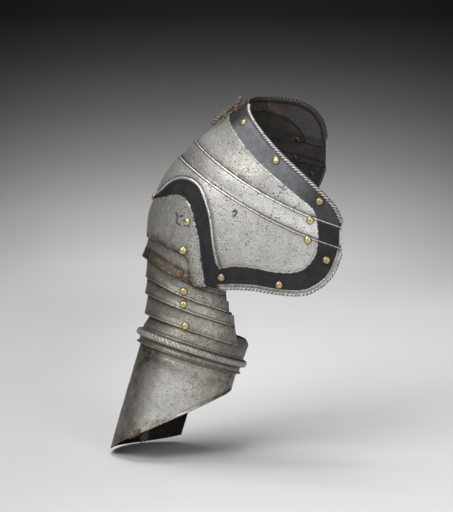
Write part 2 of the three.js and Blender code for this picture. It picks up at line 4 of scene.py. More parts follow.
import bpy
import numpy as np
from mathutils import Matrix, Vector


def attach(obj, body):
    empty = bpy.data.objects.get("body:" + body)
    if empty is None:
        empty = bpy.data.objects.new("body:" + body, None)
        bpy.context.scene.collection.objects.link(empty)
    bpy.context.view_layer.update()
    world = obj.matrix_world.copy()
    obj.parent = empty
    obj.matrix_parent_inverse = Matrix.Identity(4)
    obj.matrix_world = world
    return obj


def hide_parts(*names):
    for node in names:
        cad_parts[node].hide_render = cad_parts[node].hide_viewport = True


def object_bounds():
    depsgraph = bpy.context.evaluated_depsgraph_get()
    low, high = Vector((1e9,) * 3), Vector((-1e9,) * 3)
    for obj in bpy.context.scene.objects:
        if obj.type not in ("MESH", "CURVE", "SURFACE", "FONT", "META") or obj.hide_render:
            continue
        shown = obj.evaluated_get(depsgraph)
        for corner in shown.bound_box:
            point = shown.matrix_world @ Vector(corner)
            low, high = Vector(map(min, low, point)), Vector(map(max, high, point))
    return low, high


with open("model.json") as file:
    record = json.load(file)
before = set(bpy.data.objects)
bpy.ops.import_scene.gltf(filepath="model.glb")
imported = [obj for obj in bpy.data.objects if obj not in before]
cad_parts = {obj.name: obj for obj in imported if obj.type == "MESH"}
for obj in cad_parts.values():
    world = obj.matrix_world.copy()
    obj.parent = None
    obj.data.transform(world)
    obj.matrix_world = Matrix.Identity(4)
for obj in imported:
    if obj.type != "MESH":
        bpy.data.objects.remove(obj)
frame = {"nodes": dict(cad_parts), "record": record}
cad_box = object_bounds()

# ---------------------------------------------------------------- camera, as in the photograph
CAMERA_PLACE = (-.0162, -2.0348, .0579)
CAMERA_PITCH = 6.5
camera_data = bpy.data.cameras.new("camera")
camera_data.lens = 120
camera_data.sensor_width = 36
camera_data.sensor_fit = "AUTO"
camera_data.clip_end = 20
camera = bpy.data.objects.new("camera", camera_data)
bpy.context.scene.collection.objects.link(camera)
camera.location = CAMERA_PLACE
camera.rotation_euler = (math.radians(90 - CAMERA_PITCH), 0, 0)
bpy.context.scene.camera = camera
bpy.context.scene.view_settings.view_transform = "Standard"

# ---------------------------------------------------------------- surfaces, in millimetres
# A place on the cap is (s, q): s along the ridge, from the neck to the arm, and q across it,
# from -1 at the front border to 1 at the back. w is q's share of the half section.
THICK, GAP = 1.5, 0.6
NECK_REACH, NECK_RISE, RUN, FALL = 10.2, 6.0, 122.2, 157.0
RIDGE = np.array([(0, 0), (.133, .045), (.329, .159), (.509, .255), (.664, .369), (.82, .522),
                  (.918, .688), (.983, .828), (1, 1), (.992, 1.17)])
RIDGE_END = 1.125
SLOPE = math.radians(17.5)
WING_REACH, NECK_HALF, ARM_HALF, WING_DIP, WING_SHIFT = 111.5, 112.0, 110.0, 42.0, 3.0
UPPER_EDGE, MAIN_EDGE, LAP, HIDDEN_WIDTH = .38, .505, .072, .84
LAPS = [(0, 1), (.7, .9), (.8, .5), (1, .4)]
NECK_FRONT = [(0, 0), (.08, .024), (.16, .04), (.25, .058), (.34, .085), (.43, .118), (.54, .15),
              (.65, .185), (.74, .217), (.82, .25), (.88, .285), (.925, .325), (1, .36)]
NECK_BACK = [(0, 0), (.08, .022), (.15, .052), (.22, .09), (.31, .123), (.4, .142), (.51, .15),
             (.62, .153), (.706, .165), (.788, .186), (.884, .228), (.95, .285), (1, .36)]
ARM_FRONT = [(0, .998), (.1, .993), (.185, .983), (.24, .974), (.272, .965)]
ARM_BACK = [(0, .998), (.1, .995), (.15, .998), (.19, 1.01), (.225, 1.04), (.25, 1.09),
            (.292, 1.105)]
WING = [(.278, 1.105), (.292, 1.12), (.31, 1.1), (.335, 1.07), (.363, 1.05), (.392, 1.018),
        (.438, .965), (.496, .914), (.583, .864), (.647, .825), (.701, .785), (.741, .745),
        (.794, .7), (.844, .655), (.883, .613), (.919, .572), (.965, .54), (1, .525)]
WING_START, WING_START_BACK = .278, .292
BEAD = 2.3
ARM_LEAN, ARM_TILT = math.radians(18), math.radians(6.5)
E1 = np.array([math.cos(ARM_LEAN), 0, -math.sin(ARM_LEAN)])
E2 = np.array([0, math.cos(ARM_TILT), -math.sin(ARM_TILT)])
E3 = np.cross(E1, E2)
E3 = E3 / np.linalg.norm(E3)
RING_BACK = np.cross(E3, E1)
CANNON_CENTRE = np.array([-62.0, -4.2, -296.0])
CAP_CENTRE = np.array([WING_REACH / 2, 0, -FALL])


def between(table, x):
    """Straight lines through a table, carried on past its ends."""
    t = np.array(table, float)
    x = np.asarray(x, float)
    k = np.clip(np.searchsorted(t[:, 0], x, side="left") - 1, 0, len(t) - 2)
    x0, y0, x1, y1 = t[k, 0], t[k, 1], t[k + 1, 0], t[k + 1, 1]
    return y0 + (y1 - y0) * (x - x0) / (x1 - x0)


def smooth_between(table, x, passes=3, width=.012):
    """The same, with its corners rounded."""
    shifts = np.linspace(-1, 1, 2 * passes + 1) * width
    return np.mean([between(table, np.clip(x + d, table[0][0], table[-1][0])) for d in shifts], 0)


def curve(a, b, c, d, f):
    """The smooth curve from b to c, at the share f of the way, with a and d as neighbours."""
    return .5 * (2 * b + (c - a) * f + (2 * a - 5 * b + 4 * c - d) * f ** 2
                 + (3 * b - a - 3 * c + d) * f ** 3)


def ridge_point(s):
    last = len(RIDGE) - 1
    place = np.maximum(np.asarray(s, float) / RIDGE_END, 0) * last
    k = np.minimum(np.floor(place).astype(int), last - 1)

    def at(i):
        p = RIDGE[np.clip(i, 0, last)]
        p = np.where((i < 0)[..., None], 2 * RIDGE[0] - RIDGE[1], p)
        return np.where((i > last)[..., None], 2 * RIDGE[last] - RIDGE[last - 1], p)
    q = curve(at(k - 1), at(k), at(k + 1), at(k + 2), (place - k)[..., None])
    return NECK_REACH - RUN * q[..., 0], NECK_RISE - FALL * q[..., 1]


def cap_point(s, q):
    s, q = np.broadcast_arrays(np.asarray(s, float), np.asarray(q, float))
    rx, rz = ridge_point(s)
    reach = (WING_REACH - rx) / math.cos(SLOPE)
    half = NECK_HALF + (ARM_HALF - NECK_HALF) * s
    power = 2.25 - .35 * s ** 2
    dip_power = 1.7 + 1.3 * s ** 2
    angle = half_share(q) * np.pi / 2
    out = np.sin(angle) ** (2 / power)
    along = reach * (1 - np.maximum(np.cos(angle), 0) ** (2 / power))
    dip = np.sign(q) * out ** dip_power
    return np.stack([rx + along * math.cos(SLOPE) - WING_SHIFT * dip, np.sign(q) * half * out,
                     rz - along * math.sin(SLOPE) + WING_DIP * dip], -1)


def cap_normal(s, q):
    s, q = np.broadcast_arrays(np.asarray(s, float), np.asarray(q, float))
    h = .01
    ql, qh = np.maximum(q - h, -1 + h / 2), np.minimum(q + h, 1 - h / 2)
    n = np.cross(cap_point(s, qh) - cap_point(s, ql), cap_point(s + h, q) - cap_point(s - h, q))
    n = n / np.linalg.norm(n, axis=-1, keepdims=True)
    outward = cap_point(s, q) - CAP_CENTRE
    return np.where((n * outward).sum(-1, keepdims=True) < 0, -n, n)


def cap_offset(s, q, distance):
    return cap_point(s, q) + cap_normal(s, q) * np.asarray(distance, float)[..., None]


def on_cap(table, side):
    """A line of (s, w) places on the cap's front (side -1) or back (side 1)."""
    return cap_point(table[:, 0], side * w_to_q(table[:, 1]))


def ring_point(centre, angle, side, front):
    return (centre - np.asarray(side * np.cos(angle))[..., None] * E1
            - np.asarray(front * np.sin(angle))[..., None] * RING_BACK)


# ---------------------------------------------------------------- small tools
def half_share(q):
    return np.sin(np.abs(q) * np.pi / 2)


def w_to_q(w):
    return np.arcsin(np.clip(w, -1, 1)) * 2 / np.pi


def step(x, low, high):
    f = np.clip((x - low) / (high - low), 0, 1)
    return f * f * (3 - 2 * f)


def bell(x, width):
    return np.exp(-(x / width) ** 2)


def lumps(p, size, amount, seed):
    """A few crossed waves: the slow unevenness of hammered plate."""
    r = np.random.RandomState(seed)
    total = np.zeros(p.shape[:-1])
    for _ in range(9):
        d = r.normal(size=3)
        d = d / np.linalg.norm(d) * 2 * np.pi / (size * r.uniform(.6, 1.7))
        total = total + np.sin(p @ d + r.uniform(0, 6.3)) / 3
    return total * amount


def distance_to(points, line):
    """How far each point lies from a line of points."""
    flat = points.reshape(-1, 3)
    best = np.full(len(flat), 1e9)
    for a, b in zip(line[:-1], line[1:]):
        t = np.clip(((flat - a) @ (b - a)) / max(((b - a) ** 2).sum(), 1e-9), 0, 1)
        best = np.minimum(best, np.linalg.norm(flat - a - t[:, None] * (b - a), axis=1))
    return best.reshape(points.shape[:-1])


def inside(x, y, *lines):
    """Which points lie in the polygon that the lines of places make together."""
    polygon = np.concatenate(lines)
    result = np.zeros(x.shape, bool)
    for (x0, y0), (x1, y1) in zip(polygon, np.roll(polygon, -1, 0)):
        if y0 != y1:
            result ^= ((y0 > y) != (y1 > y)) & (x < (x1 - x0) * (y - y0) / (y1 - y0) + x0)
    return result


def smoothed(table, n=12, rounds=2):
    """A table's places joined by close-set ones, n to a stretch, with its corners rounded."""
    t = np.array(table, float)
    t = np.array([t[0]] + [a + (b - a) * k / n for a, b in zip(t[:-1], t[1:])
                           for k in range(1, n + 1)])
    for _ in range(rounds):
        pad = np.concatenate([[t[0]] * 4, t, [t[-1]] * 4])
        t2 = np.stack([np.convolve(pad[:, c], np.ones(9) / 9, "valid") for c in (0, 1)], -1)
        t2[0], t2[-1] = t[0], t[-1]
        t = t2
    return t


# ---------------------------------------------------------------- meshes
ATTRIBUTES = ("paint", "line", "dirt_and_shade", "inner", "rust", "slate", "worn", "polish_and_highlight")
NO_FACES = np.zeros((0, 3), int)


def mesh_object(name, verts, quads, body, material, attributes, sharp=40, replaces=None,
                tris=NO_FACES):
    """A piece that rides on a body, from points in millimetres, quads and triangles."""
    loops = np.concatenate([quads.ravel(), tris.ravel()]).astype(np.int32)
    starts = np.concatenate([np.arange(0, quads.size, 4),
                             quads.size + np.arange(0, tris.size, 3)]).astype(np.int32)
    mesh = bpy.data.meshes.new(name)
    mesh.vertices.add(len(verts))
    mesh.vertices.foreach_set("co", (verts / 1000).astype(np.float32).ravel())
    mesh.loops.add(len(loops))
    mesh.loops.foreach_set("vertex_index", loops)
    mesh.polygons.add(len(starts))
    mesh.polygons.foreach_set("loop_start", starts)
    mesh.update(calc_edges=True)
    mesh.validate()
    mesh.polygons.foreach_set("use_smooth", np.ones(len(mesh.polygons), bool))
    mesh.set_sharp_from_angle(angle=math.radians(sharp))
    for key in ATTRIBUTES:
        values = attributes.get(key, np.zeros(len(verts)))
        mesh.attributes.new(key, "FLOAT", "POINT").data.foreach_set(
            "value", np.asarray(values, np.float32).ravel())
    mesh.materials.append(material)
    thing = bpy.data.objects.new(name, mesh)
    bpy.context.scene.collection.objects.link(thing)
    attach(thing, body)
    if replaces:
        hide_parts(replaces)
    return thing


def grid_quads(rows, columns, closed=False, first=0):
    i, j = np.meshgrid(np.arange(rows - 1), np.arange(columns if closed else columns - 1),
                       indexing="ij")
    k = (j + 1) % columns
    return first + np.stack([i * columns + j, i * columns + k, (i + 1) * columns + k,
                             (i + 1) * columns + j], -1).reshape(-1, 4)


def facing_out(verts, *groups):
    """Groups of faces that close a solid, turned over where they face its inside."""
    volume = sum(np.einsum("ij,ij->i", verts[f[:, 0]],
                           np.cross(verts[f[:, k]], verts[f[:, k + 1]])).sum()
                 for f in groups for k in range(1, f.shape[1] - 1))
    return [f[:, ::-1] if volume < 0 else f for f in groups]


def shell(name, outer, inner, body, material, attributes, closed=False, replaces=None, sharp=40):
    """A plate between two grids of points. attributes: name -> its values on the outer side,
    or on both sides. The inner side is the rough dark one."""
    rows, columns = outer.shape[:2]
    verts = np.concatenate([outer.reshape(-1, 3), inner.reshape(-1, 3)])
    n = rows * columns
    quads = [grid_quads(rows, columns, closed), grid_quads(rows, columns, closed, n)[:, ::-1]]
    j = np.arange(columns if closed else columns - 1)
    k = (j + 1) % columns
    quads.append(np.stack([j, n + j, n + k, k], -1))
    b = (rows - 1) * columns
    quads.append(np.stack([b + j, b + k, n + b + k, n + b + j], -1))
    if not closed:
        i = np.arange(rows - 1) * columns
        quads.append(np.stack([i, i + columns, n + i + columns, n + i], -1))
        e = i + columns - 1
        quads.append(np.stack([e, n + e, n + e + columns, e + columns], -1))
    quads, = facing_out(verts, np.concatenate(quads))
    zero = np.zeros(outer.shape[:2])
    merged = {}
    for key, value in {"inner": (0, 1), **attributes}.items():
        sides = value if isinstance(value, tuple) else (value, 0)
        merged[key] = np.concatenate([(side + zero).ravel() for side in sides])
    return mesh_object(name, verts, quads, body, material, merged, sharp, replaces)


def close_ends(rings, first, last):
    """Vertices, quads and triangles of rows of rings, closed by a point at each end."""
    rows, sides = rings.shape[:2]
    verts = np.concatenate([rings.reshape(-1, 3), [first, last]])
    j = np.arange(sides)
    k = (j + 1) % sides
    b = (rows - 1) * sides
    tris = np.concatenate([np.stack([np.full(sides, rows * sides), k, j], -1),
                           np.stack([np.full(sides, rows * sides + 1), b + j, b + k], -1)])
    return (verts, *facing_out(verts, grid_quads(rows, sides, True), tris))


def lengths(path):
    return np.concatenate([[0], np.cumsum(np.linalg.norm(np.diff(path, axis=0), axis=1))])


def across(path, start):
    """Two directions across a path, carried along it without a twist."""
    tangent = np.gradient(path, axis=0)
    tangent /= np.linalg.norm(tangent, axis=1, keepdims=True)
    normal = np.zeros_like(path)
    n = np.cross(tangent[0], start)
    for k in range(len(path)):
        n = n - tangent[k] * (n @ tangent[k])
        n /= np.linalg.norm(n)
        normal[k] = n
    return normal, np.cross(tangent, normal)


def tube(name, path, radius, body, material, sides=12, rate=None, replaces=None, dirt_and_shade=0.0):
    """A round tube along a path of points. rate(u, angle) gives the share of the radius there,
    with u the length along the path, and the second value it gives is its dark grooves."""
    normal, other = across(path, [.3, .2, 1])
    u, a = np.meshgrid(lengths(path), np.arange(sides) * 2 * np.pi / sides, indexing="ij")
    share, groove = rate(u, a) if rate else (np.ones_like(u), np.zeros_like(u))
    radii = np.broadcast_to(np.asarray(radius, float), (len(path),))[:, None] * share
    rings = (path[:, None] + radii[..., None] * (np.cos(a)[..., None] * normal[:, None]
                                                 + np.sin(a)[..., None] * other[:, None]))
    verts, quads, tris = close_ends(rings, path[0], path[-1])
    extra = {"line": np.concatenate([groove.ravel(), [0, 0]]), "dirt_and_shade": np.full(len(verts), dirt_and_shade)}
    return mesh_object(name, verts, quads, body, material, extra, 60, replaces, tris)


def resample(path, spacing):
    along = lengths(path)
    u = np.linspace(0, along[-1], max(int(along[-1] / spacing), 3) + 1)
    return np.stack([np.interp(u, along, path[:, c]) for c in range(3)], -1)


def spline(points, n=14):
    """A smooth curve through points."""
    p = np.asarray(points, float)
    p = np.concatenate([2 * p[:1] - p[1:2], p, 2 * p[-1:] - p[-2:-1]])
    f = np.linspace(0, 1, n, endpoint=False)[:, None]
    return np.concatenate([curve(*p[k - 1:k + 3], f) for k in range(1, len(p) - 2)] + [p[-2:-1]])


def roped(pitch, strands, depth, wide=.25):
    """Filed slashes that wind round an edge."""
    def rate(u, a):
        phase = u / pitch + strands * a / (2 * np.pi)
        groove = bell(np.abs(phase - np.round(phase)), wide)
        return 1 - depth * groove, groove
    return rate




# ---------------------------------------------------------------- materials
class Material:
    """A node material, whose colours are mixed from noise and from the mesh's attributes."""

    def __init__(self, name):
        self.material = bpy.data.materials.new(name)
        self.material.use_nodes = True
        tree = self.material.node_tree
        self.nodes, self.links = tree.nodes, tree.links
        self.shader = self.nodes["Principled BSDF"]
        self.place = self.make("ShaderNodeTexCoord").outputs["Object"]

    def feed(self, socket, value):
        if hasattr(value, "node"):
            self.links.new(value, socket)
        else:
            socket.default_value = value

    def make(self, kind, inputs=None, **settings):
        node = self.nodes.new(kind)
        for key, value in settings.items():
            setattr(node, key, value)
        for key, value in (inputs or {}).items():
            self.feed(node.inputs[key], value)
        return node

    def noise(self, scale, detail, roughness, distortion=0):
        return self.make("ShaderNodeTexNoise",
                         {"Vector": self.place, "Scale": scale, "Detail": detail,
                          "Roughness": roughness, "Distortion": distortion}).outputs["Fac"]

    def ramp(self, value, *stops):
        node = self.make("ShaderNodeValToRGB", {"Fac": value})
        for element, (place, shade) in zip(node.color_ramp.elements, stops):
            element.position = place
            element.color = (shade, shade, shade, 1)
        return node.outputs["Color"]

    def patches(self, scale, detail, roughness, low, high, distortion=0):
        """Noise, brought between a level at a low place and one at a high place."""
        return self.ramp(self.noise(scale, detail, roughness, distortion), low, high)

    def maths(self, operation, a, b, clamp=True):
        return self.make("ShaderNodeMath", {0: a, 1: b}, operation=operation,
                         use_clamp=clamp).outputs[0]

    def times(self, a, b):
        return self.maths("MULTIPLY", a, b)

    def minus(self, a, b, clamp=True):
        return self.maths("SUBTRACT", a, b, clamp)

    def mix(self, factor, a, b):
        a, b = ((*c, 1) if isinstance(c, tuple) else c for c in (a, b))
        return self.make("ShaderNodeMix", {0: factor, 6: a, 7: b}, data_type="RGBA").outputs[2]

    def attribute(self, key):
        return self.make("ShaderNodeAttribute", attribute_name=key).outputs["Fac"]

    def bump(self, height, strength, distance, normal=None):
        node = self.make("ShaderNodeBump", {"Height": height, "Strength": strength,
                                            "Distance": distance})
        if normal is not None:
            self.links.new(normal, node.inputs["Normal"])
        return node.outputs["Normal"]

    def finish(self, color, roughness, metallic, normal):
        for key, value in (("Base Color", color), ("Roughness", roughness),
                           ("Metallic", metallic), ("Normal", normal)):
            self.feed(self.shader.inputs[key], value)
        return self.material


def pitting(m, worn, amount):
    """Dark specks of many sizes in loose clusters, and a few larger flakes."""
    shift = m.make("ShaderNodeTexNoise", {"Vector": m.place, "Scale": 420.0, "Detail": 2.0}
                   ).outputs["Color"]
    scaled = m.make("ShaderNodeVectorMath", {0: shift, 1: (.0022, .0022, .0022)},
                    operation="MULTIPLY").outputs[0]
    warped = m.make("ShaderNodeVectorMath", {0: m.place, 1: scaled}, operation="ADD").outputs[0]
    cluster = m.patches(48, 6, .7, (.36, .24), (.60, 1))
    cluster = m.maths("MAXIMUM", cluster, m.times(worn, .95))

    def specks(scale, share, reach):
        cell = m.make("ShaderNodeTexVoronoi", {"Vector": warped, "Scale": scale, "Randomness": 1.0})
        pick = m.make("ShaderNodeSeparateColor", {"Color": cell.outputs["Color"]}).outputs[0]
        room = m.times(m.minus(pick, 1 - share), reach / share)
        found = m.ramp(m.minus(room, cell.outputs["Distance"], False), (0, 0), (.07, 1))
        return m.times(found, cluster)
    small, medium, large = specks(700.0, 1.0, .53), specks(390.0, .95, .48), specks(150.0, .44, .27)
    return m.times(m.maths("MAXIMUM", m.times(small, .72), m.maths("MAXIMUM", medium, large)),
                   amount)


def black_paint(m, slate):
    """Thin black paint, slate grey where it is rubbed, with a few chips."""
    black = m.mix(m.patches(70, 6, .7, (.35, 0), (.70, 1)), (.009, .009, .010),
                  (.026, .026, .029))
    rubbed = m.mix(m.patches(110, 6, .75, (.35, 0), (.65, 1)), (.112, .115, .123),
                   (.180, .183, .194))
    black = m.mix(m.times(slate, m.patches(60, 6, .7, (.28, .72), (.5, 1))), black, rubbed)
    chips = m.times(m.patches(520, 5, .75, (.66, 0), (.72, 1)), .35)
    return m.mix(chips, black, (.20, .19, .175))


def dark_inside(m, slate, line, rust):
    """The rough dark inside of a plate."""
    scale = m.mix(m.patches(90, 6, .75, (.35, 0), (.68, 1)), (.011, .0095, .008),
                  (.034, .029, .024))
    scale = m.mix(m.times(slate, m.patches(140, 6, .7, (.3, .5), (.6, 1))), scale,
                  (.046, .043, .038))
    scale = m.mix(m.times(line, .95), scale, (.004, .0035, .003))
    return m.mix(rust, scale, (.13, .055, .05))


def steel_material(name, light, mid, dark, pit_amount=1.0, stain=(.20, .165, .12),
                   stain_amount=.5, rough=(.34, .56)):
    m = Material(name)
    m.shader.inputs["Specular IOR Level"].default_value = .3
    polish_and_highlight, line, paint, slate, inner = (m.attribute(key) for key in
                                         ("polish_and_highlight", "line", "paint", "slate", "inner"))
    cloud, fine, grain = m.noise(22, 6, .62), m.noise(170, 6, .72), m.noise(620, 4, .7)
    color = m.mix(m.ramp(cloud, (.36, 0), (.66, 1)), mid, light)
    # the polish attribute brings the steel towards near white: polished metal, and painted
    # highlights where light would catch it (neck, upper lame, turner rib, cannon front); on the
    # lames it follows wear
    color = m.mix(polish_and_highlight, color, (.97, .965, .945))
    color = m.mix(m.times(m.ramp(fine, (.40, 1), (.60, 0)), m.minus(.40, m.times(polish_and_highlight, .25))),
                  color, dark)
    color = m.mix(m.times(m.ramp(grain, (.38, 1), (.56, 0)), .30), color, dark)
    pits = pitting(m, m.attribute("worn"), pit_amount)
    color = m.mix(m.times(pits, .93), color, (.045, .040, .034))
    stains = m.times(m.patches(60, 6, .75, (.50, 0), (.74, 1), .4), stain_amount)
    color = m.mix(stains, color, stain)
    # the dirt attribute darkens towards dark brown: real dirt, and painted shade under lapping
    # edges, beside the arch bead and on the sides of round parts
    dirt_and_shade = m.times(m.attribute("dirt_and_shade"), m.patches(130, 6, .7, (.30, .45), (.6, 1)))
    color = m.mix(dirt_and_shade, color, (.085, .07, .05))
    rust = m.times(m.attribute("rust"), m.patches(300, 5, .7, (.38, .1), (.58, 1)))
    color = m.mix(rust, color, (.19, .09, .045))
    # the line attribute darkens towards black: incised lines, grooves and marks, and painted shadow
    # lines under lapping edges
    color = m.mix(m.times(line, .9), color, (.03, .026, .022))
    color = m.mix(paint, color, black_paint(m, slate))
    color = m.mix(inner, color, dark_inside(m, slate, line, rust))
    roughness = m.ramp(m.maths("ADD", m.times(fine, .5), m.times(cloud, .5)),
                       (.3, rough[1]), (.7, rough[0]))
    roughness = m.minus(roughness, m.times(polish_and_highlight, -.06), False)
    roughness = m.mix(m.maths("MAXIMUM", m.times(paint, .8), inner), roughness, (.62, .62, .62))
    metallic = m.minus(.88, m.times(m.maths("MAXIMUM", paint, pits), .8))
    metallic = m.minus(metallic, m.times(inner, .55))
    height = m.minus(m.times(fine, .30), pits, False)
    height = m.maths("ADD", height, m.times(grain, .22), False)
    normal = m.bump(cloud, .12, .004, m.bump(height, .42, .0006))
    return m.finish(color, roughness, metallic, normal)


def brass_material(name, base, dark, rough):
    m = Material(name)
    cloud, dirt_and_shade = m.noise(320, 5, .6), m.attribute("dirt_and_shade")
    color = m.mix(m.ramp(cloud, (.34, 0), (.66, 1)), dark, base)
    spots = m.patches(1400, 3, .6, (.60, 0), (.68, 1))
    color = m.mix(m.times(spots, .5), color, (.10, .07, .03))
    # the dark ring at a cap's foot: dirt, and painted shade where the cap meets the plate
    color = m.mix(m.times(dirt_and_shade, .96), color, (.020, .014, .008))
    color = m.mix(m.attribute("inner"), color, (.06, .045, .035))
    roughness = m.ramp(cloud, (.3, rough + .18), (.7, rough))
    metallic = m.minus(.92, m.times(dirt_and_shade, .6))
    return m.finish(color, roughness, metallic, m.bump(cloud, .2, .0004))


def leather_material(name, light, dark):
    m = Material(name)
    cloud, fibre = m.noise(130, 6, .7), m.noise(900, 4, .6, .8)
    color = m.mix(m.ramp(cloud, (.32, 0), (.66, 1)), dark, light)
    color = m.mix(m.times(m.ramp(fibre, (.40, 1), (.58, 0)), .55), color,
                  tuple(c * .35 for c in dark))
    color = m.mix(m.times(m.attribute("line"), .7), color, tuple(c * .3 for c in dark))
    crease = m.make("ShaderNodeTexVoronoi", {"Vector": m.place, "Scale": 520.0},
                    feature="DISTANCE_TO_EDGE").outputs["Distance"]
    height = m.maths("ADD", m.times(fibre, .6), m.ramp(crease, (.0, 0), (.12, .6)), False)
    return m.finish(color, m.ramp(cloud, (.3, .92), (.7, .7)), 0.0, m.bump(height, .6, .0007))


steel = steel_material("polished_steel", (.84, .83, .80), (.70, .69, .655), (.40, .385, .35),
                       stain=(.34, .29, .23), stain_amount=.35)
lame_steel = steel_material("lame_steel", (.50, .485, .44), (.37, .355, .31),
                            (.19, .175, .14), rough=(.46, .64))
cannon_steel = steel_material("cannon_steel", (.66, .65, .61), (.50, .49, .45),
                              (.28, .265, .23), .8, stain_amount=.6)
# a darker copy of the steel: painted shade on the ropes of the back edges
shaded_steel = steel_material("shaded_rim_steel", (.24, .21, .17), (.12, .10, .08),
                            (.05, .042, .034), stain=(.10, .06, .04))
brass = brass_material("brass_caps", (.74, .63, .34), (.44, .36, .17), .30)
dull_brass = brass_material("dull_brass_caps", (.60, .47, .27), (.32, .24, .14), .32)
bare_iron = brass_material("bare_rivet", (.30, .20, .12), (.13, .085, .055), .6)
thong = leather_material("thong_leather", (.36, .28, .215), (.095, .066, .048))
strap = leather_material("strap_leather", (.30, .20, .13), (.11, .065, .04))
# a near black copy of the strap leather, for the hanging flap: dark leather, darkened further with
# painted shade
shaded_strap = leather_material("shaded_strap_leather", (.022, .012, .007), (.008, .005, .003))

# ---------------------------------------------------------------- borders of the painted bands,
# as (s, w), the same at the front and the back
FIELD = [(.30, .868), (.312, .868), (.352, .898), (.408, .913), (.505, .920), (.525, .920),
         (.575, .917), (.618, .903), (.652, .887), (.69, .863), (.74, .792), (.78, .703),
         (.845, .625), (.88, .602), (.905, .572), (.96, .556)]
NECK_BAND = [(.160, -.02), (.165, .02), (.175, .11), (.19, .292), (.203, .412), (.22, .525),
             (.245, .675), (.273, .77), (.31, .858), (.335, .888), (.36, .900), (.40, .911),
             (.46, .915)]
ARCH_OUT = [(.742, -.02), (.737, .03), (.7, .127), (.623, .182), (.573, .248), (.55, .332),
            (.557, .393), (.598, .453), (.66, .503), (.768, .535), (.9, .566), (1.0, .585)]
ARCH_IN = [(.770, -.02), (.766, .03), (.748, .123), (.695, .227), (.67, .262), (.645, .312),
           (.65, .35), (.677, .402), (.733, .437), (.823, .478), (.95, .493), (1.04, .498),
           (1.2, .50)]
BACK_STEP = [(.15, .0), (.185, .10), (.205, .25), (.225, .40), (.237, .54), (.232, .592),
             (.234, .647), (.242, .718), (.262, .787), (.287, .838), (.334, .883), (.377, .907),
             (.429, .920), (.474, .923)]
field_line, neck_line, arch_out, arch_in, back_line = (
    smoothed(table) for table in (FIELD, NECK_BAND, ARCH_OUT, ARCH_IN, BACK_STEP))


def to_lines(q, place, *lines):
    """How far each point lies from the nearest of some (s, w) lines, each side with its own."""
    far = np.full(q.shape, 1e9)
    for side, here in ((-1, q <= 0), (1, q > 0)):
        for line in lines:
            if here.any():
                far[here] = np.minimum(far[here], distance_to(place[here], on_cap(line, side)))
    return far


def band_paint(q, place, area, lines, seed, bite=0):
    """How much of the black band covers each point, 0 to 1, and the distance to its edge."""
    far = to_lines(q, place, *lines)
    signed = np.where(area, far, -far)
    ragged = (signed + lumps(place, 5, .30, seed) + lumps(place, 2.2, .18, seed + 1)
              + bite * (lumps(place, 9, .7, seed + 2) + lumps(place, 4.1, .45, seed + 3)))
    return step(ragged, -.45, .45), signed


# ---------------------------------------------------------------- marks of use on the front
COMMA = [(.566, .580), (.555, .584), (.552, .590), (.558, .596), (.570, .595), (.584, .590)]
FLAKES = [[(.745, .322), (.752, .330), (.766, .343)], [(.766, .343), (.785, .338), (.796, .342)],
          [(.796, .342), (.801, .355), (.798, .367)], [(.736, .367), (.744, .360), (.750, .351)]]
SCRATCHES = [[(.284, .705), (.284, .722)], [(.284, .722), (.264, .730)],
             [(.284, .722), (.294, .732)], [(.286, .735), (.280, .744)]]


def marks(place, q, strokes, wide, strength):
    dark = np.zeros(q.shape)
    for stroke in strokes:
        far = distance_to(place, on_cap(smoothed(stroke, 4, 1), -1))
        dark = np.maximum(dark, strength * bell(far, wide))
    return dark * (q < 0)


# ---------------------------------------------------------------- cap plates
def dip_below(s, edge, run=.10):
    f = np.clip((s - edge + .02 + run) / run, 0, 1)
    return -(THICK + GAP) * f ** 1.6


def hidden_width(s, edge):
    f = np.clip((s - edge + .02) / (LAP + .02), 0, 1)
    return 1 - (1 - HIDDEN_WIDTH) * f


def neck_edge(q):
    a = np.abs(q)
    return np.where(q < 0, smooth_between(NECK_FRONT, a), smooth_between(NECK_BACK, a))


def main_edge(q):
    a = np.abs(q)
    arm = np.where(q > 0, between(ARM_BACK, np.minimum(a, ARM_BACK[-1][0])),
                   between(ARM_FRONT, np.minimum(a, ARM_FRONT[-1][0])))
    wing = np.where(a > .30, smooth_between(WING, np.maximum(a, WING_START)),
                    between(WING, np.maximum(a, WING_START)))
    return np.where(a < np.where(q > 0, WING_START_BACK, WING_START), arm, wing)


def cap_columns_for(count, extra=(0.0,)):
    q = np.linspace(-1, 1, count)
    return np.unique(np.concatenate([np.sign(q) * np.abs(q) ** .92, extra]))


def sample_rows(rows, counts):
    """Turns the key rows of a plate (rows x columns) into many rows between them."""
    out = [rows[k] + (rows[k + 1] - rows[k]) * np.arange(n)[:, None] / n
           for k, n in enumerate(counts)]
    return np.concatenate(out + [rows[-1:]])


def lapped_grid(q, top, edge, counts):
    """Places (s, q) of a plate from its top to the next plate's edge, and on beneath that one."""
    start, end = edge - .052, edge - .02
    lap = LAP * between(LAPS, np.abs(q))
    keys = np.stack([key + 0 * q for key in (top, (top + start) / 2, start, (start + end) / 2,
                                             end, edge, edge + lap)])
    for k in range(1, len(keys)):
        keys[k] = np.maximum(keys[k], keys[k - 1] + .004)
    s = sample_rows(keys, counts)
    return s, np.broadcast_to(q, s.shape) * hidden_width(s, edge)


def to_row(place, s, q):
    """How far each point lies from the line across the cap at s."""
    return distance_to(place, cap_point(s + 0 * q, q))


def edge_bevel(d, size=.9, depth=.45):
    return -depth * np.clip(1 - d / size, 0, 1) ** 2


def incised(d, at, width=.42, depth=.30):
    g = bell(d - at, width)
    return -depth * g, g


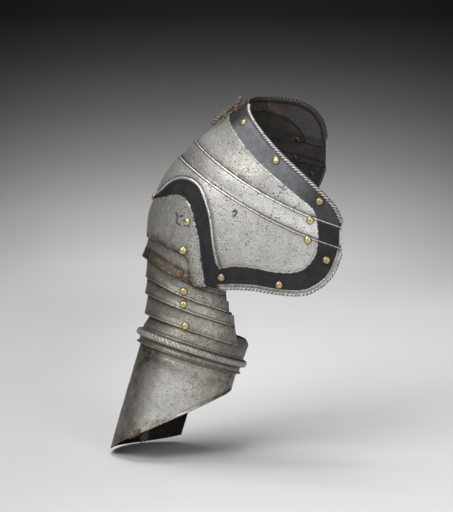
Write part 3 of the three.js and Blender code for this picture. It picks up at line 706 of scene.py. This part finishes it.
def build_neck():
    q = cap_columns_for(470)
    s, qq = lapped_grid(q, neck_edge(q), UPPER_EDGE, [44, 34, 7, 7, 4, 6])
    place = cap_point(s, qq)
    w = half_share(qq)
    area = inside(s, w, neck_line, [(.46, 1.2), (-.2, 1.2), (-.2, -.02)])
    paint, signed = band_paint(qq, place, area, [neck_line], 31)
    to_rope, to_seam = to_row(place, neck_edge(q), q), to_row(place, UPPER_EDGE, q)
    groove = bell(to_rope - 3.9, 1.3)
    sunk = -.6 * step(signed, -.5, 1.0) - .35 * groove + .18 * bell(signed + .9, .8)
    depth = dip_below(s, UPPER_EDGE, .16) + sunk + lumps(place, 34, .14, 5)
    slate = step(w, .14, .30) * (1 - .75 * step(w, .72, .90)) * np.where(qq < 0, 1, .35)
    # painted shade: the neck plate is darker under the upper lame's edge (to_seam)
    dirt_and_shade = (.70 * bell(to_seam, 4.2) + .35 * bell(signed - .9, .9)
            + .42 * (1 - step(w, .10, .42)) * bell(np.maximum(-signed, 0), 22)
            + .40 * bell(w - .50, .19))
    # its first term is a painted shadow line under the upper lame's edge
    line = np.maximum.reduce([.9 * bell(np.maximum(to_seam - .3, 0), .8), groove,
                              marks(place, qq, SCRATCHES, .8, .95)])
    worn = .35 + .30 * (1 - step(w, .10, .45)) + .3 * bell(to_seam, 14)
    # a painted highlight: the neck plate brightens away from its ridge, towards the front and back
    polish_and_highlight = .98 * step(w, .58, .84) * (1 - .5 * step(w, .94, 1.0))
    rust = .35 * bell(distance_to(place, on_cap(np.array([(.327, .835), (.328, .835)]), -1)), 4.5)
    # inside, a step follows the band's edge and the border beyond it is paler
    area = inside(s, w, back_line, [(.474, 1.2), (-.2, 1.2), (-.2, -.02), (.14, -.02)])
    far = distance_to(place, on_cap(back_line, 1))
    band = np.where((qq > 0) & area, 1, 0) * step(far, .2, 1.4) * (1 - step(s, .33, .46))
    inner_line = np.maximum.reduce([
        np.where(qq > 0, .95 * bell(far, .95), .5 * bell(signed, .9)),
        bell(to_rope - 4.0, 1.6), .5 * bell(to_seam, 2.0)])
    red = on_cap(np.array([(.185, .635), (.229, .74)]), 1)
    patch = .8 * bell(distance_to(place, red), 4.5) * (qq > 0)
    shell("neck_lame_plate", cap_offset(s, qq, depth),
          cap_offset(s, qq, depth - THICK + .05 * lumps(place, 9, .5, 6)), "neck_lame", steel,
          {"paint": paint, "line": (line, inner_line), "dirt_and_shade": dirt_and_shade, "slate": (slate, band),
           "worn": worn, "rust": (rust, patch), "polish_and_highlight": polish_and_highlight}, replaces="neck_lame")


def build_upper():
    q = cap_columns_for(470)
    s, qq = lapped_grid(q, UPPER_EDGE, MAIN_EDGE, [18, 15, 7, 7, 5, 6])
    place = cap_point(s, qq)
    w = half_share(qq)
    near = field_line[field_line[:, 0] < .6]
    area = inside(s, w, near, [(.6, 1.2), (.3, 1.2)])
    paint, signed = band_paint(qq, place, area, [near], 41)
    top, seam = to_row(place, UPPER_EDGE, q), to_row(place, MAIN_EDGE, q)
    cut, cut_line = incised(top, 2.4, .6)
    across_end = np.linspace(UPPER_EDGE, MAIN_EDGE, 20)
    to_end = np.where(qq < 0, *(distance_to(place, cap_point(across_end, side))
                                for side in (-1.0, 1.0)))
    end_strip = 1 - step(to_end + lumps(place, 3, .4, 44), 2.2, 3.2)
    dip = dip_below(s, MAIN_EDGE, .10)
    depth = (dip - .45 * step(signed, -.5, 1.0) + edge_bevel(top) + cut
             + lumps(place, 30, .12, 12))
    # painted shade: the upper lame is darker where it runs under the main plate (seam)
    dirt_and_shade = (.70 * bell(seam, 3.6) + .22 * bell(top - 3.2, 2.0) + .35 * end_strip
            + .30 * (1 - step(w, .10, .40)))
    # its first term is a painted shadow line under the main plate's edge
    line = np.maximum.reduce([.9 * bell(np.maximum(seam - .3, 0), .8), .95 * cut_line,
                              .6 * bell(to_end - 3.4, .6)])
    worn = .6 * (1 - step(w, .10, .55)) + .35 * bell(seam, 9)
    # the polish brightening away from the ridge is a painted highlight
    shell("upper_lame_plate", cap_offset(s, qq, depth),
          cap_offset(s, qq, np.minimum(depth, dip) - THICK), "upper_lame", steel,
          {"paint": paint * (1 - bell(top, .9)) * (1 - end_strip),
           "line": (line, .6 * bell(seam, 1.6)), "dirt_and_shade": dirt_and_shade, "rust": .25 * end_strip,
           "worn": worn, "polish_and_highlight": .85 * step(w, .30, .62)}, replaces="upper_lame")


def build_main():
    q = cap_columns_for(600, (-.2785, -.2715, .292))
    bottom = main_edge(q)
    s = MAIN_EDGE + (bottom - MAIN_EDGE) * np.linspace(0, 1, 190)[:, None]
    qq = np.broadcast_to(q, s.shape)
    place = cap_point(s, qq)
    w = half_share(qq)
    area = (inside(s, w, field_line, [(1.4, .57), (1.4, 1.2), (.30, 1.2)])
            | inside(s, w, arch_out, [(1.4, .59), (1.4, .50)], arch_in[::-1]))
    bite = (np.maximum(0, 1 - to_lines(qq, place, arch_in) / 7)
            * (.25 + .75 * (1 - step(np.abs(qq), .22, .30))))
    paint, signed = band_paint(qq, place, area, [field_line, arch_in], 51, bite)
    top, low = to_row(place, MAIN_EDGE, q), to_row(place, bottom, q)
    cut, cut_line = incised(top, 2.4, .6)
    border = np.full(s.shape, 1e9)
    for side, here in ((-1, qq <= 0), (1, qq > 0)):
        a = side * np.linspace(.318, 1, 260)
        border[here] = distance_to(place[here], cap_point(main_edge(a), a))
    arch = to_lines(qq, place, arch_out[:-8])
    flange = (1 - step(border, 4.9, 5.8)) * step(np.abs(qq), .372, .392)
    area = inside(s, w, arch_out, [(1.4, .59), (1.4, -.02), (.742, -.02)])
    outside = step(np.where(area, -arch, arch), -.5, .8)
    fade = 1 - step(s, .885, .91)
    groove = bell(arch - 2.0, .8) * outside * step(s, .52, .545) * fade
    ridge = np.exp(-(arch / 1.5) ** 4) * fade
    hammered = lumps(place, 38, .18, 21)
    sunk = -.65 * step(signed, -.5, 1.0) * (1 - flange) * (1 - ridge)
    depth = (sunk + .35 * ridge - .35 * groove + edge_bevel(top) + edge_bevel(low, 1.5, .7)
             + cut + hammered + .15 * bell(signed + 1.0, .8) * (1 - flange))
    paint = paint * (1 - flange) * (1 - step(ridge, .12, .5)) * (1 - bell(top, .9))
    arm = 1 - step(np.abs(qq), .26, .34)
    # its first term is painted shade beside the arch bead
    dirt_and_shade = (.4 * bell(arch - 3.8, 1.8) * fade + .22 * bell(top - 3.2, 2.0)
            + .45 * flange * bell(border - 4.4, 1.1) + .35 * bell(signed + 2.2, 1.2) * (1 - arm)
            + .30 * arm * area + .35 * bell(low, 9) * arm + .5 * step(s, .90, 1.08) * arm
            + .38 * step(s, .66, .92) * (1 - area) + .10 * (1 - arm)
            + .25 * step(s, .80, 1.0) * arm * area)
    # the line at the rope's foot (border - 2.9) and the one along the arm's lower edge (low) are
    # painted shadow lines
    line = np.maximum.reduce([.95 * cut_line, groove, .6 * bell(border - 2.9, .8),
                              .95 * bell(low, .9) * arm, marks(place, qq, [COMMA], 1.2, 1.2),
                              marks(place, qq, FLAKES, 1.05, 1.1)])
    worn = np.clip(.95 * arm * area + .25 + .45 * step(s, .56, .80) * (1 - step(w, .55, .8))
                   + .5 * step(s, .88, 1.0), 0, 1)
    worn = np.maximum(worn, .8 * bell(low, 16) * (arm > .3))
    shell("main_plate_body", cap_offset(s, qq, depth),
          cap_offset(s, qq, np.minimum(sunk, 0) + hammered - THICK), "main_plate", steel,
          {"paint": paint, "line": line, "dirt_and_shade": dirt_and_shade, "worn": worn}, replaces="main_plate")


build_neck()
build_upper()
build_main()


def rope_along(name, path, radius, body, material, pitch, depth=.42, strands=3, dirt_and_shade=0.0):
    path = resample(path, .42)
    n = len(path)
    taper = np.clip(np.minimum(np.arange(n), np.arange(n)[::-1]) / 6, .35, 1)
    tube(name, path, radius * taper, body, material, 18, roped(pitch, strands, depth), dirt_and_shade=dirt_and_shade)


def along_border(edge, q):
    return cap_offset(edge(q), q, np.full(q.shape, -THICK / 2))


# rolled and roped edge of the neck opening, bright in front; behind, darkened with painted shade
edge_q = np.linspace(-1, 1, 900)
neck_path = along_border(neck_edge, edge_q)
rope_along("neck_rope_front", neck_path[edge_q < .02], BEAD + .45, "neck_lame", steel, 4.2)
rope_along("neck_rope_back", neck_path[edge_q > .01], BEAD + .35, "neck_lame", shaded_steel, 5.0,
           .34, 3, .5)
SIDES = ((-1, "front"), (1, "back"))
# the rope on the back edge of the wing takes the darker steel: painted shade
for side, label in SIDES:
    rope_along("wing_rope_" + label, along_border(main_edge, side * np.linspace(.384, .999, 500)),
               BEAD - .5, "main_plate", steel if side < 0 else shaded_steel, 4.5, .42, 2, .15)
# the raised bead round the arch, which runs out in a point above the border
BEAD_END, BEAD_WIDE = .902, 1.25
for side, label in SIDES:
    t = arch_out[(arch_out[:, 1] > 0) & (arch_out[:, 0] < BEAD_END)]
    p = resample(cap_offset(t[:, 0], side * w_to_q(t[:, 1]), np.full(len(t), .15)), .7)
    thin = np.clip(np.linspace(1, 0, len(p)) / .16, .12, 1) ** .8
    tube("arch_bead_" + label, p, BEAD_WIDE * thin, "main_plate", steel)

# ---------------------------------------------------------------- lower lames
LEVELS = [-209.5, -228.0, -243.0, -264.5]
HEIGHTS = [43.0, 31.5, 28.0, 34.5]
LOW_RISE, HIGH_RISE = [1, .64, .3, .08], [.7, 1, .64, .3]
SPANS = [120, 127, 132, 142]
SIDE_R, SIDE_F = [57.6, 60.8, 60, 59.6], [10.4, 3, 4.8, 5.7]
FRONT_R, FRONT_F = [60, 60.4, 60, 59.5], [4.4, 4, 4.4, 4.9]
INNER_R, INNER_F = [61.5, 60.9, 60.2, 60], [2.6, 3.2, 3.9, 6.6]
CORNER = [4.9, 4.2, 3.5, 2.7]
LAME_X, LAME_RISE, LAME_RADIUS, SLANT = -53.0, 14.5, 61, .95
SHOWN = [40.0, 18.5, 15.0, 21.5]


def lame_point(k, angle, up, sink):
    rise = LAME_RISE * (LOW_RISE[k] * (1 - up) + HIGH_RISE[k] * up)
    rise = rise * np.maximum(np.cos(angle), 0) ** 1.5
    centre = np.stack([np.full(angle.shape, LAME_X), np.zeros(angle.shape),
                       LEVELS[k] + HEIGHTS[k] * up + rise], -1)
    flare = (1 - up) ** 1.6
    corner = np.where(np.cos(angle) < 0, 0, np.sin(2 * angle) ** 2)
    deep = sink + CORNER[k] * corner * np.minimum(up / .25, 1)
    front = FRONT_R[k] + FRONT_F[k] * flare - deep
    side = np.where(np.cos(angle) < 0, INNER_R[k] + INNER_F[k] * flare - sink,
                    SIDE_R[k] + SIDE_F[k] * flare - deep)
    return ring_point(centre, angle, side, front)


def build_lame(k):
    span = math.radians(SPANS[k])
    angle, up = np.meshgrid(np.linspace(-span, span, 300), np.linspace(0, 1, 46))
    place = lame_point(k, angle, up, 0.0)
    low = up * HEIGHTS[k] * SLANT
    ends = (span - np.abs(angle)) * LAME_RADIUS
    cut, cut_line = incised(low, 2.4, .4, .28)
    seam = low - SHOWN[k] * SLANT
    # painted shade: darker under the lame above (seam), on the side that faces left (cos(angle)),
    # and, on lame 1, over its lower flare where the light would brighten it
    dirt_and_shade = (.5 * bell(seam, 4.0) + .25 * bell(low - 3.4, 1.8) + .12 * (low > 0)
            + .35 * step(np.cos(angle), .45, .95)
            + (k == 0) * (1 - step(low, 11, 17)) * step(np.cos(angle), -.35, .05))
    # the seam line is a painted shadow line under the edge of the lame above
    line = np.maximum.reduce([.9 * cut_line, .8 * bell(seam, 1.0) * (k > 0), .8 * bell(ends, .9)])
    if k == 0:
        # on lame 1, a painted shadow line under the main plate's edge
        a = np.linspace(-.33, .33, 400)
        over = distance_to(place, cap_offset(main_edge(a), a, np.full(a.shape, -2.0)))
        line = np.maximum(line, .95 * bell(np.maximum(over - .6, 0), 1.6))
    hammered = lumps(place, 26, .16, 60 + k)
    depth = edge_bevel(np.minimum(low, ends), .9, .4) + cut + hammered
    worn = step(np.abs(angle), math.radians(84), math.radians(118))
    name = f"lower_lame_{k + 1}"
    shell(name + "_plate", lame_point(k, angle, up, -depth),
          lame_point(k, angle, up, THICK - hammered), name, lame_steel,
          {"line": line, "dirt_and_shade": dirt_and_shade, "worn": worn, "polish_and_highlight": .20 * worn}, replaces=name)


for k in range(4):
    build_lame(k)

# ---------------------------------------------------------------- turner
ARM_RADIUS, RUNNING_GAP = 60.6, .7
BORE = ARM_RADIUS + RUNNING_GAP
WALL = BORE + THICK
SLASHES, CREST_UP = 84, 12.5


def ring_grid(profile, count, bulges=None, slash=None):
    """Rows of rings: profile is a list of (radius, height along the arm)."""
    angle = np.linspace(0, 2 * np.pi, count, endpoint=False)
    rows = []
    for i, (radius, up) in enumerate(profile):
        extra = 0 if bulges is None else bulges[i] * np.maximum(-np.cos(angle), 0) ** 6
        r = radius + extra + (0 if slash is None else slash(angle, up))
        rows.append(ring_point(CANNON_CENTRE + up * E3, angle, r, r))
    return np.array(rows), angle


def rib_slash(angle, up):
    phase = angle * SLASHES / (2 * np.pi) + (up - CREST_UP) / 4.6
    return bell(np.abs(phase - np.round(phase)), .25)


def build_turner():
    # the profile as (height, radius over the wall): flange, roped rib, shoulder, waist and top
    flange = [(0, 2.5), (.5, 2.9), (1.1, 2.5), (1.7, 1.4), (2.6, .7), (3.8, .5), (5.2, .3),
              (6.6, .4), (7.5, 1.0), (8.2, 2.4)]
    rib_low, rib_high = 8.6, 16.4
    a = np.pi * np.linspace(0, 1, 17)
    rib = list(zip(rib_low + (rib_high - rib_low) * (1 - np.cos(a)) / 2,
                   3.2 + (8.1 - THICK - 3.2) * np.maximum(np.sin(a), 0) ** .8))
    top = [(16.9, 2.2), (17.5, 1.1), (18.3, .5), (19.2, .5), (19.8, .1), (20.3, .4), (22.5, -.1),
           (25, -.9), (28, -1.7), (31, -2.4), (34, -3.0), (35.5, -3.3), (38, -4.2), (40.4, -5.0),
           (41.5, -5.5), (42, -5.8)]
    up, radius = np.array(flange + rib + top).T
    radius = WALL + radius
    bulge = np.interp(up, [18, 24, 35, 38, 42], [0, 1.8, 5, 4.4, 2])
    near_crest = np.exp(-((up - CREST_UP) / 3.4) ** 4)[:, None]

    def slash(angle, u):
        return -1.0 * math.exp(-((u - CREST_UP) / 3.3) ** 4) * rib_slash(angle, u)
    count = SLASHES * 10
    outer, angle = ring_grid(list(zip(radius, up)), count, bulge, slash)
    hollow = WALL + np.array([1.6, 1.6, 1.0, .4, 0, 0, 0, 0, .3, 1.4] + [4.0] * 17 + [.8, .3])
    inner_r = np.concatenate([hollow, radius[len(hollow):]]) - THICK
    inner, _ = ring_grid(list(zip(inner_r, up)), count, bulge)
    groove = near_crest * rib_slash(angle[None], up[:, None])
    shadow = (bell(up - 17.3, 1.2) * .7 + bell(up - 7.2, 1.5) * .75 + bell(up - 19.9, .5) * .5
              + bell(up - 33.0, 3.2) * .5)
    # an even darkening, with painted shade on the left and right sides, less on the rib's crest
    tone_and_side_shade = .25 + .35 * step(np.abs(np.cos(angle)), .55, .98)[None]
    dirt_and_shade = np.clip(np.clip(shadow, 0, 1)[:, None] + tone_and_side_shade * (1 - .7 * near_crest), 0, 1)
    # the polish brightening on the rib's crest at the front is a painted highlight
    shell("turner_ring", outer, inner, "turner", lame_steel,
          {"line": .42 * groove, "dirt_and_shade": dirt_and_shade, "worn": .6 * step(-np.cos(angle), .1, .6)[None],
           "polish_and_highlight": .42 * near_crest * step(np.sin(angle), -.2, .3)},
          closed=True, replaces="turner", sharp=50)


build_turner()


# ---------------------------------------------------------------- upper cannon
CANNON_THICK, CANNON_TOP, FLANGE_BORE = 1.4, 10, 59.2
LENGTH_FRONT, LENGTH_BODY, LENGTH_ARM = 71.5, 20.5, 124.5
RUST_SPOTS = [(72, 5, 5, 1.0), (80, 2, 7, .7), (36, 3, 6, .9), (45, 12, 5, .8), (28, 5, 6, .7),
              (62, 11, 3.5, .7), (20, 2, 5, .8)]


def cannon_length(angle):
    """How far the oblique lower edge lies below the centre, round the arm."""
    angle = np.mod(angle, 2 * np.pi)
    side = np.cos(angle)
    front = np.where(side < 0, LENGTH_FRONT + (LENGTH_BODY - LENGTH_FRONT) * -side,
                     LENGTH_FRONT + (LENGTH_ARM - LENGTH_FRONT) * side
                     + 8.5 * np.maximum(side, 0) ** 12)
    turn = 2 * np.pi - angle
    stop = math.radians(109)
    back = np.where(turn <= stop, 133 - (133 - 98) * (turn / stop) ** 2,
                    58 + (LENGTH_BODY - 58) * (turn - stop) / (np.pi - stop))
    return np.where(np.sin(angle) >= 0, front, back)


def cannon_point(radius, height, angle):
    shift = np.maximum(-height, 0) * math.tan(math.radians(2))
    centre = CANNON_CENTRE + height[..., None] * E3 + shift[..., None] * E1
    return ring_point(centre, angle, radius, radius)


def build_cannon():
    count, rows = 420, 130
    t, angle = np.meshgrid(np.linspace(0, 1, rows),
                           np.linspace(0, 2 * np.pi, count, endpoint=False), indexing="ij")
    whole = CANNON_TOP + cannon_length(angle)
    height = CANNON_TOP - whole * t
    low = whole * (1 - t)
    radius = ARM_RADIUS - .25 * bell(height + 6, 1.0)
    # a low turned lip along the front of the lower edge, towards the body
    right = step(-np.cos(angle), -.10, .25) * step(np.sin(angle), .05, .3)
    lip = right * (1.2 * bell(low - 1.0, 1.3) - .5 * bell(low - 4.0, 1.2))
    place = cannon_point(radius, height, angle)
    radius = radius + lip + edge_bevel(low, .9, .15) + lumps(place, 45, .30, 81) * step(low, 0, 6)
    lines = (.55 * bell(height + 1.2, .7) + .30 * bell(height + 6, .55)
             + .22 * bell(height + 13, .5))
    # painted shade: the terms in cos(angle) darken the left and right sides; the lumps are real
    # mottling
    dirt_and_shade = (.55 * bell(height + 1.5, 3.0) + .45 * bell(low, 3.0) + .25 * bell(height + 14, 9.0)
            + right * .5 * bell(low - 4.0, 1.4) + .62 * step(np.abs(np.cos(angle)), .55, 1.0)
            + .22 * step(-np.cos(angle), .3, .8) + .30 * step(np.cos(angle), .35, .95)
            + .34 * bell(height + 12, 9.0) * step(np.cos(angle), .1, .6)
            + .22 * np.clip(lumps(place, 34, 1.0, 83) - .15, 0, 1)
            + .16 * np.clip(lumps(place, 15, 1.0, 84) - .25, 0, 1))
    # a painted highlight down the front: less dark and brighter there
    painted_highlight = bell(angle - math.radians(82), .42) * step(-height, 14, 30)
    rust = np.zeros_like(low)
    for degrees, up, wide, much in RUST_SPOTS:
        away = np.hypot((angle - math.radians(degrees)) * ARM_RADIUS, low - up)
        rust = np.maximum(rust, much * bell(away, wide))
    shell("upper_cannon_tube", cannon_point(radius, height, angle),
          cannon_point(np.minimum(radius, ARM_RADIUS) - CANNON_THICK, height, angle),
          "upper_cannon", cannon_steel,
          {"line": lines, "dirt_and_shade": np.clip(dirt_and_shade, 0, 1) * (1 - .55 * painted_highlight),
           "rust": (rust, .5 * rust), "polish_and_highlight": .34 * painted_highlight}, closed=True, replaces="upper_cannon")
    # the flanged upper end that runs inside the turner's rib
    flange = [(60.6, 9.5), (60.7, 11.0), (62.4, 12.4), (65.0, 12.7), (65.3, 13.3), (65.0, 14.1),
              (59.4, 14.2)]
    bore = [(FLANGE_BORE, up) for up in (9.5, 10.5, 11.5, 12.2, 13, 13.6, 14.2)]
    outer, _ = ring_grid(flange, count)
    inner, _ = ring_grid(bore, count)
    shell("upper_cannon_flange", outer, inner, "upper_cannon", cannon_steel, {"inner": (1, 1)},
          closed=True, replaces="upper_cannon")


build_cannon()


# ---------------------------------------------------------------- rivets
def rivet_axis(node):
    """Tail end, direction, seat and length of a rivet's solid: its poles have the most edges."""
    mesh = frame["nodes"][node].data
    co = np.zeros(len(mesh.vertices) * 3)
    mesh.vertices.foreach_get("co", co)
    places, index = np.unique(np.round(co.reshape(-1, 3) * 1000, 3), axis=0, return_inverse=True)
    edges = np.zeros(len(mesh.edges) * 2, np.int32)
    mesh.edges.foreach_get("vertices", edges)
    edges = index.ravel()[edges].reshape(-1, 2)
    count = np.bincount(edges[edges[:, 0] != edges[:, 1]].ravel(), minlength=len(places))
    poles = places[np.argsort(-count)[:2]]
    length = np.linalg.norm(poles[1] - poles[0])
    for tail, top in (poles, poles[::-1]):
        d = (top - tail) / length
        along = (places - tail) @ d
        wide = np.linalg.norm(places - tail - along[:, None] * d, axis=1)
        if along[np.argmax(wide)] >= length / 2:
            break
    return tail, d, along[wide > wide.max() - .05].min(), length


def build_rivet(node, body, material, flat=1.0):
    tail, d, seat, length = rivet_axis(node)
    sides = 28
    r = np.random.RandomState(sum(ord(c) for c in node))
    # (radius, height, inner, dirt and painted shade) of the peened tail, the shank, the dark rim
    # and the cap
    prof = [(0, 0, 1, 0), (1.2, .02, 1, 0), (2.2, .18, 1, 0), (3.0, .6, 1, 0), (3.3, 1.2, 1, 0),
            (1.7, 1.3, 1, 0), (1.7, seat - .3, 1, 0), (4.2, seat - .3, 0, 1),
            (4.62, seat - .15, 0, 1), (4.68, seat + .25, 0, 1), (4.45, seat + .45, 0, 1),
            (4.32, seat + .6, 0, .5)]
    for t in np.linspace(.12, 1, 10) * math.pi / 2:
        prof.append((4.28 * math.cos(t) ** .75,
                     seat + .5 + ((length - seat) * flat - .5) * math.sin(t), 0, 0))
    prof = np.array(prof)
    a = np.arange(sides)[:, None] * 2 * np.pi / sides
    u = np.cross(d, [.31, .92, .2])
    u /= np.linalg.norm(u)
    v = np.cross(d, u)
    dent = 1 + .02 * np.sin(2 * a + r.uniform(0, 6)) + .015 * np.sin(3 * a + r.uniform(0, 6))
    rings = np.array([tail + z * d + radius * dent * (np.cos(a) * u + np.sin(a) * v)
                      for radius, z in prof[1:-1, :2]])
    verts, quads, tris = close_ends(rings, *(tail + prof[k, 1] * d for k in (0, -1)))
    inner, dirt_and_shade = (np.append(np.repeat(prof[1:-1, c], sides), prof[[0, -1], c]) for c in (2, 3))
    mesh_object(node + "_cap", verts, quads, body, material, {"inner": inner, "dirt_and_shade": dirt_and_shade}, 55,
                node, tris)


DULL = {"neck_rivet_front_1", "neck_rivet_front_3", "wing_rivet_front_1", "wing_rivet_front_2",
        "wing_rivet_front_3", "strap_rivet_side"}
CAPLESS = "lame_pivot_1_front"
for body, members in frame["record"]["behaviour"]["bodies"].items():
    for node in members:
        if node == CAPLESS:
            build_rivet(node, body, bare_iron, .45)
        elif "rivet" in node or "pivot" in node:
            build_rivet(node, body, dull_brass if node in DULL else brass)

# ---------------------------------------------------------------- lace and leather
LACE = [(-11, -3, -19), (-13.5, -3, -13.5), (-16, -3.5, -8), (-19.2, -4, -4.2), (-23.5, -4.4, -6.4),
        (-27.5, -4.4, -10.4), (-31, -2.8, -13.9), (-32, .2, -14.9), (-30.6, 3.2, -13.6),
        (-27, 4.6, -10), (-20, 4.3, -4), (-12, 3.6, 2), (-4.5, 3.2, 7.5), (-.4, 2.2, 12.4),
        (.6, -1, 14.4), (-.9, -4.3, 12.2), (-3.5, -4.8, 6.8), (-4.6, -3.7, 1.2), (-3.2, -3, -3.5),
        (-1, -3, -8.5), (1, -3, -13)]


def strand(path, offset, pitch, phase):
    """A line that winds round a path."""
    normal, other = across(path, [.2, 1, .1])
    a = (lengths(path) * 2 * np.pi / pitch + phase)[:, None]
    return path + offset * (np.cos(a) * normal + np.sin(a) * other)


def flat_rate(u, a):
    f = .5 + .5 * np.sin(3 * a + u * 1.9)
    return 1 - .16 * f, .5 * f


lace_path = resample(spline(LACE), .5)
for k in range(2):
    tube(f"lace_strand_{k + 1}", strand(lace_path, 1.35, 8.5, k * math.pi), 1.75, "neck_lame",
         thong, 10, flat_rate, replaces="lace")
turns = np.linspace(0, 7.4, 30)
wrap = np.stack([-28.5 + 1.75 * turns, 4.9 * np.cos(turns * 1.7),
                 -10.6 + turns * 1.35 + 2.7 * np.sin(turns * 1.7)], -1)
tube("lace_wrap", resample(spline(wrap, 5), .5), 1.7, "neck_lame", thong, 10, flat_rate)


def leather_grid(rows, columns):
    """Shares along a strap, 0 to 1, and across it, -.5 to .5."""
    return np.meshgrid(np.linspace(0, 1, rows), np.linspace(-.5, .5, columns), indexing="ij")


def build_remnant():
    """The strap end at the cannon's edge: a curled, torn piece of leather."""
    s, a = leather_grid(60, 26)
    r_out, r_in = ARM_RADIUS + 1.6, ARM_RADIUS - CANNON_THICK - 2.0
    bend = [0, .3, .5, .65, 1]
    radius = np.interp(s, bend, [r_out, r_out, 59.9, r_in, r_in])
    torn = 1 + .30 * np.sin(23 * a + 1) + .18 * np.sin(51 * a + 2)
    above = np.interp(s, bend, [5.2, 0, -1.8, 0, 9]) * np.where(s < .3, torn, 1)
    curl = 1 + .12 * np.sin(9 * s) + .06 * np.sin(31 * s)
    angle = math.radians(51) + 13 / ARM_RADIUS * a * curl
    height = above - cannon_length(angle)
    radius = radius + .30 * np.sin(11 * a + 7 * s)
    half = (.75 + .2 * np.sin(5 * a + 3 * s)) * np.clip(s / .06, .3, 1)
    dr = half * np.interp(s, bend, [1, 1, 0, -1, -1])
    dz = half * np.interp(s, bend, [0, -.3, -1, -.3, 0])
    shell("cannon_leather_end", cannon_point(radius + dr, height + dz, angle),
          cannon_point(radius - dr, height - dz, angle), "upper_cannon", strap,
          {"line": .9 * step(s, .3, .42), "inner": (0, 0)}, replaces="cannon_leather")
    # the torn end that hangs down beside it
    s, a = leather_grid(30, 16)
    angle = math.radians(62) + 11 / 58 * a * (1 - .40 * s) + .05 * s
    height = 5 - 17 * s * (1 + .12 * np.sin(9 * a)) - cannon_length(angle)
    radius = 56.6 + 1.6 * np.sin(2.4 * s) + .5 * np.sin(9 * a + 3 * s)
    shell("cannon_leather_flap", cannon_point(radius + .8, height, angle),
          cannon_point(radius - .8, height, angle), "upper_cannon", shaded_strap,
          {"inner": (0, 0)})


build_remnant()

# ---------------------------------------------------------------- floor, backdrop and light,
# in metres
FLOOR_GAP = .0015
STAGE_FLAT, STAGE_CURVE, STAGE_EDGE = 1.1, 1.7, 2.62
# the shades paint light and shade: pale near the piece, then darker up the backdrop as the light
# falls off
STAGE_SHADES = [(0, .70), (.4, .78), (.7, .81), (1.15, .89), (1.53, .84), (1.77, .64),
                (1.96, .38), (2.13, .185), (2.28, .066), (2.39, .020), (2.7, .015)]
LEFT_SHADE, SIDE_SHADE = .22, 1.25
WORLD_LIGHT = .04
AIM = (-.02, 0, -.18)
LIGHTS = [("key", (-.86, -1.32, 1.12), AIM, 1.2, 28), ("right", (.90, -1.60, .60), AIM, .8, 11),
          ("top", (-.25, .05, 1.8), AIM, .9, 19),
          ("backdrop", (-.1, .70, 1.0), (-.1, 1.55, -.35), 1.0, 8)]


def build_stage():
    """A round pale floor that rises into a darker backdrop all round."""
    floor_z = min(corner[2] for corner in cad_box) - FLOOR_GAP
    r = np.concatenate([np.linspace(.05, STAGE_FLAT, 12),
                        np.linspace(STAGE_FLAT, STAGE_EDGE, 40)[1:]])
    rise = STAGE_CURVE - np.sqrt(STAGE_CURVE ** 2 - np.maximum(r - STAGE_FLAT, 0) ** 2)
    a = np.linspace(0, 2 * np.pi, 160, endpoint=False)
    ring = np.stack([r[:, None] * np.cos(a), r[:, None] * np.sin(a),
                     np.broadcast_to((floor_z + rise)[:, None], (len(r), len(a)))], -1)
    verts = np.concatenate([ring.reshape(-1, 3), [[0, 0, floor_z]]])
    # the faces look inwards: from outside and below, the stage lets the view through
    faces = grid_quads(len(r), len(a), True)[:, ::-1].tolist()
    faces += [(len(verts) - 1, k, (k + 1) % len(a)) for k in range(len(a))]
    mesh = bpy.data.meshes.new("floor")
    mesh.from_pydata(verts.tolist(), [], faces)
    mesh.polygons.foreach_set("use_smooth", np.ones(len(mesh.polygons), bool))
    x, y = verts[:, 0], verts[:, 1]
    far = step(y, 1.1, 1.5)
    shade = np.interp(np.hypot(x, y), *zip(*STAGE_SHADES))
    # painted shade: darker on the left of the floor, and towards the sides of the backdrop
    shade = shade * (1 - LEFT_SHADE * step(-x, -.05, .33) * (1 - far))
    shade = shade * (1 - SIDE_SHADE * np.minimum(x ** 2, .36) * far)
    mesh.attributes.new("shade", "FLOAT", "POINT").data.foreach_set(
        "value", shade.astype(np.float32))
    m = Material("pale_floor")
    for key, value in (("Base Color", m.attribute("shade")), ("Roughness", .95),
                       ("Specular IOR Level", .05)):
        m.feed(m.shader.inputs[key], value)
    outside = m.make("ShaderNodeNewGeometry").outputs["Backfacing"]
    clear = m.make("ShaderNodeBsdfTransparent").outputs[0]
    one_sided = m.make("ShaderNodeMixShader", {0: outside, 1: m.shader.outputs[0], 2: clear})
    m.feed(m.nodes["Material Output"].inputs["Surface"], one_sided.outputs[0])
    mesh.materials.append(m.material)
    floor = bpy.data.objects.new("floor", mesh)
    bpy.context.scene.collection.objects.link(floor)


def area_light(name, place, target, size, power):
    data = bpy.data.lights.new(name, "AREA")
    data.shape = "RECTANGLE"
    data.size = data.size_y = size
    data.energy = power
    lamp = bpy.data.objects.new(name, data)
    bpy.context.scene.collection.objects.link(lamp)
    lamp.location = place
    lamp.rotation_euler = (Vector(target) - Vector(place)).to_track_quat("-Z", "Y").to_euler()


build_stage()
world = bpy.data.worlds.new("studio")
bpy.context.scene.world = world
world.use_nodes = True
background = world.node_tree.nodes["Background"]
background.inputs["Strength"].default_value = WORLD_LIGHT
background.inputs["Color"].default_value = (1, .99, .98, 1)
for light in LIGHTS:
    area_light(*light)
